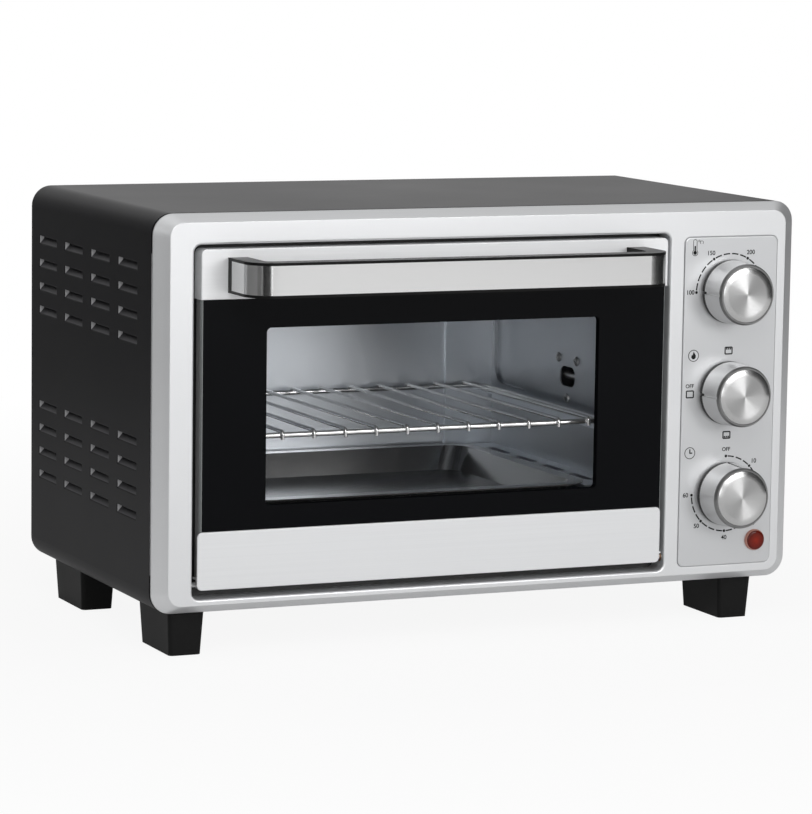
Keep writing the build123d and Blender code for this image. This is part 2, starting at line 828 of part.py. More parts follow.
def heater_pair(height):
    with BuildPart() as rods:
        for radius, half in ((heater_radius, rod_half), (heater_pin_radius, pin_half)):
            with BuildSketch(Plane.YZ.offset(oven_x)):
                with Locations(*[(front_y + depth, height) for depth in heater_depths]):
                    Circle(radius)
            extrude(amount=half, both=True)
    return rods


keep(heater_pair(upper_heater_height), "upper_heater_rods")
keep(heater_pair(lower_heater_height), "lower_heater_rods")

with BuildPart() as heater_bushes:
    for side in (-1, 1):
        for radius, reach in (
            (end_bush_flange, -side * end_bush_flange_height),
            (end_bush_radius, side * end_bush_length),
        ):
            with BuildSketch(Plane.YZ.offset(oven_x + side * cavity_half)):
                with Locations(*heater_spots):
                    Circle(radius)
                    Circle(heater_radius + bush_fit, mode=Mode.SUBTRACT)
            extrude(amount=reach)
keep(heater_bushes, "heater_bushes")

# Thermostat sensor: a pan on the outside of the right wall with the bulb across it
with BuildPart() as sensor_bracket:
    with BuildSketch(Plane.YZ.offset(right_outer)):
        with Locations((front_y + sensor_depth, sensor_height - sensor_flange_drop)):
            RectangleRounded(sensor_flange_length, sensor_flange_height, sensor_window_corner)
    extrude(amount=sensor_sheet)
    for wall, mode in ((0, Mode.ADD), (sensor_sheet, Mode.SUBTRACT)):
        with BuildSketch(Plane.YZ.offset(right_outer)):
            with Locations(sensor_spot):
                Rectangle(sensor_pan_length - 2 * wall, sensor_pan_height - 2 * wall)
        extrude(amount=sensor_pan_deep - wall, mode=mode)
    with BuildSketch(Plane.YZ.offset(right_outer)):
        with Locations(sensor_spot):
            with Locations(*sensor_screws):
                Circle(sensor_screw_radius + screw_hole_gap)
    extrude(amount=sensor_sheet, mode=Mode.SUBTRACT)
    bulb_x = right_outer + sensor_pan_deep / 2
    with BuildSketch(upright(sensor_depth)):
        with Locations((bulb_x, sensor_height)):
            Circle(sensor_bulb_radius + bush_fit)
    extrude(amount=sensor_pan_length, both=True, mode=Mode.SUBTRACT)
keep(sensor_bracket, "sensor_bracket")

with BuildPart() as sensor_screw_set:
    for radius, reach in (
        (sensor_screw_head, -sensor_screw_head_height),
        (sensor_screw_radius, liner_sheet + sensor_sheet + screw_over),
    ):
        with BuildSketch(Plane.YZ.offset(right_inner)):
            with Locations(sensor_spot):
                with Locations(*sensor_screws):
                    Circle(radius)
        extrude(amount=reach)
keep(sensor_screw_set, "sensor_screws")

# Controls behind the panel: each has a threaded bush through the fascia and a bore for its shaft
bush_front = -panel_proud - bush_reach


def control_front(name, depth):
    """Plane on a knob's axis at a depth, facing the user."""
    return Plane((knob_x, front_y + depth, knob_heights[name]), x_dir=(1, 0, 0), z_dir=(0, -1, 0))


def threaded_bush(name):
    with BuildPart() as bush:
        with BuildSketch(control_front(name, fascia_wall)):
            Circle(bush_radius)
        extrude(amount=fascia_wall - bush_front)
    return bush.part


def shaft_bore(name):
    with BuildPart() as bore:
        with BuildSketch(control_front(name, bush_front)):
            Circle(shaft_radius + running_fit)
        extrude(amount=-(shaft_seat + slide_gap - bush_front))
    return bore.part


def blades(name, depth, spots):
    """Terminal blades on the back of a control."""
    with BuildPart() as blade_set:
        with BuildSketch(control_front(name, depth)):
            with Locations(*spots):
                Rectangle(blade_width, blade_thick)
        extrude(amount=-blade_length)
    return blade_set.part


thermostat_back = fascia_wall + thermostat_depth
thermostat_blades = [(side * thermostat_blade_span / 2, 0) for side in (-1, 1)]
with BuildPart() as thermostat:
    with BuildSketch(control_front("temp", fascia_wall)):
        RectangleRounded(thermostat_width, thermostat_height, block_corner)
    extrude(amount=-thermostat_depth)
    with BuildSketch(control_front("temp", thermostat_back)):
        Circle(thermostat_disc_radius)
    extrude(amount=-thermostat_disc_depth)
    add(blades("temp", thermostat_back, thermostat_blades))
    add(threaded_bush("temp"))
    add(shaft_bore("temp"), mode=Mode.SUBTRACT)
keep(thermostat, "thermostat")

switch_back = fascia_wall + switch_depth
switch_reach = switch_blade_span / 2
switch_blades = [(across * switch_reach, up * switch_reach) for across in (-1, 1) for up in (-1, 1)]
with BuildPart() as mode_switch:
    with BuildSketch(control_front("mode", fascia_wall)):
        RectangleRounded(switch_size, switch_size, block_corner)
    extrude(amount=-switch_depth)
    add(blades("mode", switch_back, switch_blades))
    add(threaded_bush("mode"))
    add(shaft_bore("mode"), mode=Mode.SUBTRACT)
keep(mode_switch, "mode_switch")

timer_back = fascia_wall + timer_depth
timer_blades = [(0, up * timer_blade_span / 2) for up in (-1, 1)]
with BuildPart() as timer:
    with BuildSketch(control_front("timer", fascia_wall)):
        Circle(timer_radius)
    extrude(amount=-timer_depth)
    with BuildSketch(control_front("timer", timer_back)):
        Circle(timer_bell_radius)
    extrude(amount=-timer_bell_depth, taper=timer_bell_slope)
    add(blades("timer", timer_back, timer_blades))
    add(threaded_bush("timer"))
    add(shaft_bore("timer"), mode=Mode.SUBTRACT)
keep(timer, "timer")

with BuildPart() as control_nuts:
    for name in knob_heights:
        with BuildSketch(control_front(name, -panel_proud)):
            RegularPolygon(nut_flats / 2, 6, major_radius=False)
            Circle(bush_radius + bush_fit, mode=Mode.SUBTRACT)
        extrude(amount=nut_height)
keep(control_nuts, "control_nuts")

# Thermostat bulb with its capillary tube, which runs up to the disc behind the temperature knob
bulb_start = sensor_depth - sensor_bulb_length / 2
bulb_end = sensor_depth + sensor_bulb_length / 2
disc_back = thermostat_back + thermostat_disc_depth
capillary_out = bulb_end + 2 * capillary_bend
temp_height = knob_heights["temp"]
capillary_route = [
    (bulb_x, front_y + bulb_end - capillary_bend, sensor_height),
    (bulb_x, front_y + capillary_out, sensor_height),
    ((bulb_x + knob_x) / 2, front_y + capillary_out, (sensor_height + temp_height) / 2),
    (knob_x, front_y + bulb_end, temp_height),
    (knob_x, front_y + disc_back, temp_height),
]
with BuildPart() as thermostat_bulb:
    with BuildSketch(upright(bulb_start)):
        with Locations((bulb_x, sensor_height)):
            Circle(sensor_bulb_radius)
    extrude(amount=-sensor_bulb_length)
    with BuildLine():
        FilletPolyline(*capillary_route, radius=capillary_bend)
    with BuildSketch(upright(bulb_end - capillary_bend)):
        with Locations((bulb_x, sensor_height)):
            Circle(capillary_radius)
    sweep()
keep(thermostat_bulb, "thermostat_bulb")


# Knobs: a hollow tapered cup on the shaft, with a metal cap let into the front
knob_back = -panel_proud - knob_gap


def knob_set(name, pointer_angle):
    centre = (knob_x, front_y + knob_back, knob_heights[name])
    bore_end = shaft_end + slide_gap
    bore_radius = shaft_radius + bush_fit
    cap_seat = knob_height - knob_cap
    front_inner = knob_height - knob_front
    with BuildPart() as knob:
        with BuildSketch(Plane(centre, x_dir=(0, -1, 0), z_dir=(0, 0, 1))):
            with BuildLine():
                Polyline(
                    (0, knob_base_radius - knob_wall),
                    (0, knob_base_radius),
                    (knob_height - knob_shoulder, knob_shoulder_radius),
                    (knob_height, knob_face_radius),
                    (knob_height, knob_cap_radius),
                    (cap_seat, knob_cap_radius),
                    (cap_seat, 0),
                    (bore_end, 0),
                    (bore_end, bore_radius),
                    (knob_hub_start, bore_radius),
                    (knob_hub_start, knob_hub_radius),
                    (front_inner, knob_hub_radius),
                    (front_inner, knob_shoulder_radius - knob_wall),
                    close=True,
                )
            make_face()
        revolve(axis=Axis(centre, (0, -1, 0)))
        line_deep = knob_line_depth + knob_base_radius - knob_shoulder_radius
        with BuildSketch(control_front(name, knob_back)):
            with PolarLocations(knob_base_radius, 1, start_angle=pointer_angle):
                Rectangle(2 * line_deep, knob_line_width)
        extrude(amount=knob_height - knob_shoulder, mode=Mode.SUBTRACT)
    keep(knob, f"{name}_knob")
    with BuildPart() as cap:
        with BuildSketch(control_front(name, knob_back - cap_seat)):
            Circle(knob_cap_radius - bush_fit)
        extrude(amount=knob_cap)
    keep(cap, f"{name}_knob_cap")
    with BuildPart() as shaft:
        with BuildSketch(control_front(name, shaft_seat)):
            Circle(shaft_radius)
        extrude(amount=shaft_seat - knob_back + shaft_end)
    keep(shaft, f"{name}_shaft")


nine_oclock = 180
twelve_oclock = 90
knob_set("temp", nine_oclock)
knob_set("mode", nine_oclock)
knob_set("timer", twelve_oclock)

# Power lamp: a rounded lens pushed through the panel onto the lamp body
with BuildPart() as lamp_lens:
    with BuildSketch(upright(-panel_proud)):
        with Locations((lamp_x, lamp_height)):
            Circle(lamp_radius)
    extrude(amount=lamp_dome)
    fillet(lamp_lens.edges().sort_by(Axis.Y)[0], lamp_round)
    with BuildSketch(upright(-panel_proud)):
        with Locations((lamp_x, lamp_height)):
            Circle(lamp_neck_radius)
    extrude(amount=-(panel_proud + fascia_wall))
keep(lamp_lens, "lamp_lens")

with BuildPart() as lamp_body:
    with BuildSketch(upright(fascia_wall)):
        with Locations((lamp_x, lamp_height)):
            Circle(lamp_body_radius)
    extrude(amount=-lamp_body_length)
keep(lamp_body, "lamp_body")

# Terminal block on the base plate, and the leads between it, the controls and the heaters
terminal_x = side_x - terminal_inset
terminal_mid = body_depth - terminal_from_back
terminal_top = base_high + terminal_height
terminal_pitch = terminal_length / 4
with BuildPart() as terminal_block:
    with BuildSketch(Plane.XY.offset(base_high)):
        with Locations((terminal_x, front_y + terminal_mid)):
            RectangleRounded(terminal_length, terminal_depth, block_corner)
    extrude(amount=terminal_height)
    with BuildSketch(Plane.XY.offset(terminal_top)):
        with Locations((terminal_x, front_y + terminal_mid)):
            with GridLocations(terminal_pitch, 0, 3, 1):
                Circle(terminal_recess_radius)
    extrude(amount=-terminal_recess, mode=Mode.SUBTRACT)
keep(terminal_block, "terminal_block")

lead_slack = 4 * lead_bend


def blade_end(name, back, spot):
    return (knob_x + spot[0], back + blade_length, knob_heights[name] + spot[1])


def stepped(point, across=0, back=0, up=0):
    return (point[0] + across, point[1] + back, point[2] + up)


def terminal_point(place):
    return (terminal_x + place * terminal_pitch, terminal_mid, terminal_top - terminal_recess)


def heater_pin(side, depth, height):
    return (oven_x + side * pin_half, depth, height)


timer_in = blade_end("timer", timer_back, timer_blades[0])
timer_out = blade_end("timer", timer_back, timer_blades[1])
mode_in = blade_end("mode", switch_back, switch_blades[0])
mode_upper = blade_end("mode", switch_back, switch_blades[3])
mode_lower = blade_end("mode", switch_back, switch_blades[2])
temp_in = blade_end("temp", thermostat_back, thermostat_blades[1])
temp_out = blade_end("temp", thermostat_back, thermostat_blades[0])
front_pins = [heater_pin(1, heater_depths[0], height) for height in heater_heights]
rear_pins = [heater_pin(1, heater_depths[1], height) for height in heater_heights]
terminals = [terminal_point(place) for place in (-1, 0, 1)]


def lead_route(start, start_step, end, end_step):
    """Route that leaves and reaches its ends straight, by a step of (across, back, up)."""
    return [start, stepped(start, *start_step), stepped(end, *end_step), end]


backward = (0, lead_slack, 0)
far_back = (0, 2 * lead_slack, 0)
sideways = (lead_slack, 0, 0)
upward = (0, 0, lead_slack)
lead_routes = [
    lead_route(terminals[2], upward, timer_in, backward),
    lead_route(timer_out, backward, mode_in, backward),
    lead_route(mode_upper, backward, temp_in, backward),
    lead_route(temp_out, backward, front_pins[0], sideways),
    lead_route(mode_lower, far_back, front_pins[1], sideways),
    lead_route(rear_pins[0], sideways, terminals[1], upward),
    lead_route(rear_pins[1], (lead_slack / 2, 0, 0), terminals[0], upward),
]
jumper_step = (-2 * lead_bend, 0, 0)
for height in heater_heights:
    left_pins = [heater_pin(-1, depth, height) for depth in heater_depths]
    lead_routes.append(lead_route(left_pins[0], jumper_step, left_pins[1], jumper_step))
with BuildPart() as wiring_leads:
    for route in lead_routes:
        points = [Vector(x, front_y + depth, z) for x, depth, z in route]
        with BuildLine() as lead_path:
            FilletPolyline(*points, radius=lead_bend)
        with BuildSketch(Plane(points[0], z_dir=points[1] - points[0])):
            Circle(lead_radius)
        sweep(path=lead_path.wire())
keep(wiring_leads, "wiring_leads")

# Door: glass held between two trims, with a dark pressed frame behind it
with BuildPart() as door_top_trim:
    with BuildSketch(upright(0)):
        with Locations((door_x, (door_high + top_trim_low) / 2)):
            trim_face = Rectangle(door_width, top_trim_height)
        fillet(trim_face.vertices().group_by(Axis.Y)[-1], trim_corner)
    extrude(amount=-door_depth)
    with BuildSketch(upright(trim_sheet)):
        with Locations((door_x, (door_high - trim_sheet + top_trim_low) / 2)):
            trim_hollow = Rectangle(door_width - 2 * trim_sheet, top_trim_height - trim_sheet)
        fillet(trim_hollow.vertices().group_by(Axis.Y)[-1], trim_corner - trim_sheet)
    extrude(amount=-door_depth, mode=Mode.SUBTRACT)
    fillet(door_top_trim.faces().sort_by(Axis.Y)[0].outer_wire().edges(), trim_edge)
    with BuildSketch(upright(0)):
        with Locations(*handle_screw_spots):
            Circle(handle_screw_radius + screw_hole_gap)
    extrude(amount=-trim_sheet, mode=Mode.SUBTRACT)
keep(door_top_trim, "door_top_trim")

lug_inner = bottom_trim_width / 2 - trim_corner - hinge_lug
with BuildPart() as door_bottom_trim:
    with BuildSketch(upright(0)):
        with Locations((oven_x, (bottom_trim_low + bottom_trim_high) / 2)):
            RectangleRounded(bottom_trim_width, bottom_trim_height, trim_corner)
    extrude(amount=-trim_sheet)
    fillet(door_bottom_trim.faces().sort_by(Axis.Y)[0].outer_wire().edges(), trim_edge)
    with BuildSketch(upright(trim_sheet)):
        with Locations((oven_x, bottom_trim_low + trim_sheet / 2)):
            Rectangle(bottom_trim_width - 2 * trim_corner, trim_sheet)
        with Locations((door_x, shelf_height - trim_sheet / 2)):
            Rectangle(door_width, trim_sheet)
    extrude(amount=-(door_depth - trim_sheet))
    with BuildSketch(upright(trim_sheet)):
        for side in (-1, 1):
            lug_x = oven_x + side * (lug_inner + hinge_lug / 2)
            with Locations((lug_x, (bottom_trim_low + shelf_height) / 2)):
                Rectangle(hinge_lug, shelf_height - bottom_trim_low)
    extrude(amount=-(door_depth - trim_sheet))
    for side in (-1, 1):
        with BuildSketch(Plane.YZ.offset(oven_x + side * lug_inner)):
            with Locations((front_y + hinge_depth, hinge_height)):
                Circle(hinge_radius + bush_fit)
        extrude(amount=side * hinge_lug, mode=Mode.SUBTRACT)
keep(door_bottom_trim, "door_bottom_trim")

with BuildPart() as door_glass:
    with BuildSketch(upright(glass_front)):
        with Locations((door_x, (glass_low + glass_high) / 2)):
            Rectangle(pane_width, glass_high - glass_low)
    extrude(amount=-glass_thickness)
keep(door_glass, "door_glass")

with BuildPart() as door_frame:
    frame_mid = (glass_low + frame_high) / 2
    frame_height = frame_high - glass_low
    with BuildSketch(upright(frame_front)):
        with Locations((door_x, frame_mid)):
            frame_face = Rectangle(pane_width, frame_height)
        fillet(frame_face.vertices().group_by(Axis.Y)[-1], trim_corner - trim_sheet)
    extrude(amount=-(door_depth - frame_front))
    with BuildSketch(upright(frame_front + frame_sheet)):
        with Locations((door_x, frame_mid)):
            Rectangle(pane_width - 2 * frame_sheet, frame_height - 2 * frame_sheet)
    extrude(amount=-door_depth, mode=Mode.SUBTRACT)
    with BuildSketch(upright(frame_front)):
        with Locations((oven_x, (window_low + window_high) / 2)):
            RectangleRounded(door_width - 2 * window_side, window_high - window_low, window_corner)
    extrude(amount=-frame_sheet, mode=Mode.SUBTRACT)
keep(door_frame, "door_frame")

# Hinge pins in the bottom trim's lugs, turning in bushes in the fascia
pin_outer = opening_width / 2 + fascia_wall
with BuildPart() as hinge_pins:
    for side in (-1, 1):
        with BuildSketch(Plane.YZ.offset(oven_x + side * lug_inner)):
            with Locations((front_y + hinge_depth, hinge_height)):
                Circle(hinge_radius)
        extrude(amount=side * (pin_outer - lug_inner))
keep(hinge_pins, "hinge_pins")

with BuildPart() as hinge_bushes:
    for side in (-1, 1):
        for radius, start, reach in (
            (hinge_bush_radius, opening_width / 2, fascia_wall),
            (hinge_bush_flange, opening_width / 2 + fascia_wall, trim_sheet),
        ):
            with BuildSketch(Plane.YZ.offset(oven_x + side * start)):
                with Locations((front_y + hinge_depth, hinge_height)):
                    Circle(radius)
                    Circle(hinge_radius + running_fit, mode=Mode.SUBTRACT)
            extrude(amount=side * reach)
keep(hinge_bushes, "hinge_bushes")


# Handle: a bent bar with a stainless strip let into its front and outer sides
def handle_profile(width, reach, corner):
    """Block standing out from the door, with its two front corners rounded."""
    with BuildSketch() as profile:
        Rectangle(width, reach, align=(Align.CENTER, Align.MAX))
        fillet(profile.vertices().group_by(Axis.Y)[0], corner)
    return profile.sketch


handle_outside = handle_profile(handle_length, handle_reach, handle_corner)
strip_inside = handle_profile(
    handle_length - 2 * strip_sheet, handle_reach - strip_sheet, handle_corner - strip_sheet
)
grip_space = handle_profile(handle_length - 2 * handle_leg, handle_reach - handle_bar, handle_inner_corner)

with BuildPart() as handle_strip:
    with BuildSketch(Plane((door_x, front_y, handle_mid - strip_tall / 2))):
        add(handle_outside)
        add(strip_inside, mode=Mode.SUBTRACT)
        Rectangle(2 * handle_length, strip_from_door, align=(Align.CENTER, Align.MAX), mode=Mode.SUBTRACT)
    extrude(amount=strip_tall)
keep(handle_strip, "handle_strip")

with BuildPart() as handle_body:
    with BuildSketch(Plane((door_x, front_y, handle_mid - handle_tall / 2))):
        add(handle_outside)
        add(grip_space, mode=Mode.SUBTRACT)
    extrude(amount=handle_tall)
    add(handle_strip.part, mode=Mode.SUBTRACT)
    with BuildSketch(upright(0)):
        with Locations(*handle_screw_spots):
            Circle(handle_screw_radius + screw_hole_gap)
    extrude(amount=handle_screw_reach + slide_gap, mode=Mode.SUBTRACT)
keep(handle_body, "handle_body")

with BuildPart() as handle_screws:
    for radius, reach in (
        (handle_screw_head, -handle_screw_head_height),
        (handle_screw_radius, trim_sheet + handle_screw_reach),
    ):
        with BuildSketch(upright(trim_sheet)):
            with Locations(*handle_screw_spots):
                Circle(radius)
        extrude(amount=reach)
keep(handle_screws, "handle_screws")
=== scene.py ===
import math

import bmesh
import bpy
from mathutils import Matrix, Vector


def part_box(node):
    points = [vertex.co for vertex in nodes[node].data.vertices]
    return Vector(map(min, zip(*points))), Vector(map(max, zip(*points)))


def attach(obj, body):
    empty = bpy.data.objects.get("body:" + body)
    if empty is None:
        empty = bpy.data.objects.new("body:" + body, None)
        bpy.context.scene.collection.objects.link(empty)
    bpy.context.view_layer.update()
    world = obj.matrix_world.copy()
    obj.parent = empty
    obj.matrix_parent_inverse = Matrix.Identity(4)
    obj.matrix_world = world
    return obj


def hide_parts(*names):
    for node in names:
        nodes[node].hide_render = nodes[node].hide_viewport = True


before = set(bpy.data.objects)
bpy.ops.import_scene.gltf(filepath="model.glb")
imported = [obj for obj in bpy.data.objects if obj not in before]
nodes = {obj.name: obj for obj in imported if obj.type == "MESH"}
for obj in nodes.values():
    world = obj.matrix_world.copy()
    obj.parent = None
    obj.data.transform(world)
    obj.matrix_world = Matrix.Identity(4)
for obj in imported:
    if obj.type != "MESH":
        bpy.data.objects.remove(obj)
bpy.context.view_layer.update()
mm = 0.001
knobNames = ("temp", "mode", "timer")
print("frame loaded:", len(nodes), "nodes")


class Wire:  # a node's output socket that takes part in sums
    def __init__(self, finish, socket):
        self.finish = finish
        self.socket = socket

    def sum(self, operation, *values):
        return self.finish.add("Math", {"operation": operation}, values)

    def __add__(self, other):
        return self.sum("ADD", self, other)

    def __radd__(self, other):
        return self.sum("ADD", other, self)

    def __sub__(self, other):
        return self.sum("SUBTRACT", self, other)

    def __rsub__(self, other):
        return self.sum("SUBTRACT", other, self)

    def __mul__(self, other):
        return self.sum("MULTIPLY", self, other)

    def __rmul__(self, other):
        return self.sum("MULTIPLY", other, self)

    def __truediv__(self, other):
        return self.sum("DIVIDE", self, other)

    def __rtruediv__(self, other):
        return self.sum("DIVIDE", other, self)

    def __pow__(self, other):
        return self.sum("POWER", self, other)

    def __gt__(self, other):
        return self.sum("GREATER_THAN", self, other)

    def __lt__(self, other):
        return self.sum("LESS_THAN", self, other)

    def __abs__(self):
        return self.sum("ABSOLUTE", self)

    def most(self, other):
        return self.sum("MAXIMUM", self, other)


class Finish:  # one material and the nodes in it
    def __init__(self, name, tree=None):
        if tree is None:
            self.material = bpy.data.materials.new(name)
            self.material.use_nodes = True
            tree = self.material.node_tree
        self.tree = tree
        tree.nodes.clear()

    def add(self, kind, settings=None, inputs=(), output=0):
        node = self.tree.nodes.new("ShaderNode" + kind)
        for key, value in (settings or {}).items():
            setattr(node, key, value)
        pairs = inputs.items() if isinstance(inputs, dict) else enumerate(inputs)
        for key, value in pairs:
            if isinstance(value, Wire):
                self.tree.links.new(value.socket, node.inputs[key])
            else:
                node.inputs[key].default_value = value
        return Wire(self, node.outputs[output]) if node.outputs else None

    def place(self):
        return self.add("TexCoord", output="Object")

    def axes(self):
        place = self.place()
        return [self.add("SeparateXYZ", None, [place], axis) for axis in "XYZ"]

    def stretched(self, scale):
        return self.add("VectorMath", {"operation": "MULTIPLY"}, [self.place(), scale])

    def noise(self, scale, detail=3.0, vector=None):
        inputs = {"Vector": vector or self.place(), "Scale": scale, "Detail": detail}
        return self.add("TexNoise", None, inputs)

    def mix(self, factor, first, second):
        return self.add("Mix", {"data_type": "RGBA"}, {0: factor, 6: first, 7: second}, 2)

    def ramp(self, value, low, high, shape="LINEAR"):
        inputs = {"Value": value, "From Min": low, "From Max": high}
        return self.add("MapRange", {"interpolation_type": shape}, inputs)

    def bump(self, height, depth, normal=None):
        inputs = {"Height": height, "Distance": depth, "Strength": 1.0}
        if normal:
            inputs["Normal"] = normal
        return self.add("Bump", None, inputs)

    def rounded(self, radius):
        return self.add("Bevel", {"samples": 6}, [radius])

    def surface(self, **inputs):
        shader = self.add("BsdfPrincipled", None, {key.replace("_", " "): value for key, value in inputs.items()})
        self.add("OutputMaterial", None, [shader])
        return self.material


def grey(level, tint=(0, 0, 0)):
    return (level + tint[0], level + tint[1], level + tint[2], 1.0)


def middle(low, high):
    return (low + high) / 2


# Silver paint of the fascia and the finer plate of the control panel
silver = {"dark": 0.76, "light": 0.86, "flake": 2600, "drift": 9, "rough": 0.36, "metal": 0.65, "edge": 0.6 * mm,
          "depth": 0.003 * mm, "tint": (-0.016, -0.008, 0.004)}
panelSilver = {**silver, "dark": 0.62, "light": 0.70, "edge": 0.3 * mm}


def silverPaint(name, paint):
    finish = Finish(name)
    flakes = finish.noise(paint["flake"], 2)
    drift = finish.noise(paint["drift"], 2)
    dark, light = [grey(paint[tone], paint["tint"]) for tone in ("dark", "light")]
    tone = finish.mix(0.7 * flakes + 0.3 * drift, dark, light)
    rough = paint["rough"] + 0.08 * (drift - 0.5) + 0.05 * (flakes - 0.5)
    normal = finish.bump(flakes, paint["depth"], finish.rounded(paint["edge"]))
    return finish.surface(Base_Color=tone, Metallic=paint["metal"], Roughness=rough, Normal=normal)


# Brushed metal, with its grain along the two axes that are stretched least
trim = {"tone": 0.86, "grain": (5, 5, 1500), "rough": 0.36, "metal": 0.3, "tint": silver["tint"]}
# Painted light: the top trim is the bottom trim's metal painted lighter, against the handle's shade on it
topTrim = {**trim, "tone": 0.97, "metal": 0.2}
handle = {"tone": 0.72, "grain": (6, 6, 2600), "rough": 0.17, "metal": 1.0, "tint": (0, 0, 0)}
brush = {"depth": 0.001 * mm, "drift": 14, "spread": 0.05, "finer": 3}


def brushedMetal(name, sheet):
    finish = Finish(name)
    lines = finish.noise(1, 4, finish.stretched(sheet["grain"]))
    fine = finish.noise(1, 2, finish.stretched([brush["finer"] * value for value in sheet["grain"]]))
    drift = finish.noise(brush["drift"], 2)
    streak = 0.6 * lines + 0.4 * fine
    dark, light = [grey(sheet["tone"] * (1 + side * brush["spread"]), sheet["tint"]) for side in (-1, 1)]
    rough = sheet["rough"] + 0.14 * (streak - 0.5) + 0.08 * (drift - 0.5)
    return finish.surface(Base_Color=finish.mix(streak, dark, light), Metallic=sheet["metal"], Roughness=rough,
                          Normal=finish.bump(streak, brush["depth"]))


# Knob: a satin sleeve, with a painted shadow as a black band at its foot and painted shade as a dark ring round its
# face
sleeve = {"tone": 0.68, "rough": 0.36, "turning": (30, 2600, 30), "footShadow": 2.4 * mm, "footShadowTone": (0.006, 0.012),
          "shoulderShade": 2.0 * mm, "shoulderShadeTone": 0.26}


def knobSleeve(name, node):
    finish = Finish(name)
    low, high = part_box(node)
    x, y, z = finish.axes()
    # Painted shadow: the foot of the sleeve is painted black, where the gap under the knob is shaded
    footShadow = y > high.y - sleeve["footShadow"]
    # Painted shade: a dark ring on the chamfer round the knob's face
    shoulderShade = y < low.y + sleeve["shoulderShade"]
    turning = finish.noise(1, 3, finish.stretched(sleeve["turning"]))
    metal = finish.mix(turning, grey(sleeve["tone"] * 0.97), grey(sleeve["tone"] * 1.03))
    dark = finish.mix(turning, grey(sleeve["shoulderShadeTone"] * 0.85), grey(sleeve["shoulderShadeTone"]))
    black = finish.mix(turning, *[grey(level) for level in sleeve["footShadowTone"]])
    colour = finish.mix(footShadow, finish.mix(shoulderShade, metal, dark), black)
    rough = sleeve["rough"] + 0.04 * (turning - 0.5) + 0.1 * footShadow
    return finish.surface(Base_Color=colour, Metallic=1 - footShadow, Roughness=rough)


# Powder coat on the casing, rear and base, with painted light in the scoops: painted paler floors and painted glints on
# their ends
casing = {"dark": (0.008, 0.0078, 0.0092, 1), "light": (0.013, 0.0127, 0.0148, 1), "peel": 950, "speck": 3200,
          "drift": 7, "depth": 0.02 * mm, "edge": 0.5 * mm, "rough": 0.4, "gloss": 0.09, "bend": 22 * mm,
          "scoop": (0.3 * mm, 2.2 * mm), "scoopPaintedLight": (0.085, 0.084, 0.09, 1), "endPaintedGlint": (0.40, 0.40, 0.41, 1),
          "endGlintFacing": -0.25}


def powderCoat(name):
    finish = Finish(name)
    peel = finish.noise(casing["peel"], 2)
    speck = finish.noise(casing["speck"], 1)
    drift = finish.noise(casing["drift"], 3)
    tone = finish.mix(0.5 * speck + 0.5 * drift, casing["dark"], casing["light"])
    low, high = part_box("outer_casing")
    x, y, z = finish.axes()
    inward = (high.x - low.x) / 2 - abs(x - middle(low.x, high.x))
    shallow, deep = casing["scoop"]
    level = (z < high.z - casing["bend"]) * (z > low.z + casing["bend"])
    scoop = (inward > shallow) * (inward < deep) * level
    # Painted light and shade: each scoop's floor is painted paler near the sheet and darker deeper in
    tone = finish.mix(scoop * (1 - finish.ramp(inward, shallow, deep)), tone, casing["scoopPaintedLight"])
    # Painted highlight: the scoops' front-facing ends are painted light grey as a glint
    facing = finish.add("SeparateXYZ", None, [finish.add("NewGeometry", output="True Normal")], "Y")
    tone = finish.mix(scoop * (facing < casing["endGlintFacing"]), tone, casing["endPaintedGlint"])
    normal = finish.bump(0.7 * peel + 0.3 * speck, casing["depth"], finish.rounded(casing["edge"]))
    return finish.surface(Base_Color=tone, Roughness=casing["rough"] + 0.1 * (drift - 0.5),
                          Specular_IOR_Level=casing["gloss"], Normal=normal)


# Moulded plastic with a spark-eroded grain
plastic = {"grain": 1400, "drift": 22, "depth": 0.02 * mm}


def grainedPlastic(name, dark, light, rough, gloss=0.4):
    finish = Finish(name)
    pits = finish.noise(plastic["grain"], 2)
    drift = finish.noise(plastic["drift"], 2)
    tone = finish.mix(0.6 * pits + 0.4 * drift, grey(dark), grey(light))
    return finish.surface(Base_Color=tone, Roughness=rough + 0.12 * (drift - 0.5), Specular_IOR_Level=gloss,
                          Normal=finish.bump(pits, plastic["depth"]))


# Galvanised sheet of the oven's lining, with painted shade: its front edges behind the door are painted black, as the
# shade in the gap round the door
lining = {"dark": (0.80, 0.84, 0.89), "light": (0.87, 0.91, 0.96), "spangle": 160, "roll": (40, 40, 420), "haze": 6,
          "rough": 0.3, "metal": 0.8, "flange": 1.2 * mm, "flangeTone": 0.006, "sideShadeShare": 0.62}


def galvanised(name, share=1.0):  # share is how light it is beside the back wall
    finish = Finish(name)
    dark, light = [(*(share * part for part in lining[tone]), 1) for tone in ("dark", "light")]
    cell = finish.add("TexVoronoi", None, {"Vector": finish.place(), "Scale": lining["spangle"]}, "Color")
    spangle = finish.add("SeparateColor", None, [cell])
    roll = finish.noise(1, 3, finish.stretched(lining["roll"]))
    haze = finish.noise(lining["haze"], 2)
    tone = finish.mix(0.2 * spangle + 0.3 * roll + 0.5 * haze, dark, light)
    x, y, z = finish.axes()
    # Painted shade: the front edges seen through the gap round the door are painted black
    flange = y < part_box("cavity_roof")[0].y + lining["flange"]
    rough = lining["rough"] + 0.03 * (haze - 0.5) + 0.02 * (spangle - 0.5) + 0.2 * flange
    return finish.surface(Base_Color=finish.mix(flange, tone, grey(lining["flangeTone"])),
                          Metallic=lining["metal"] * (1 - flange), Roughness=rough)


plating = {"haze": 60, "draw": 900, "dull": 0.85, "tint": (0, 0.004, 0.01)}


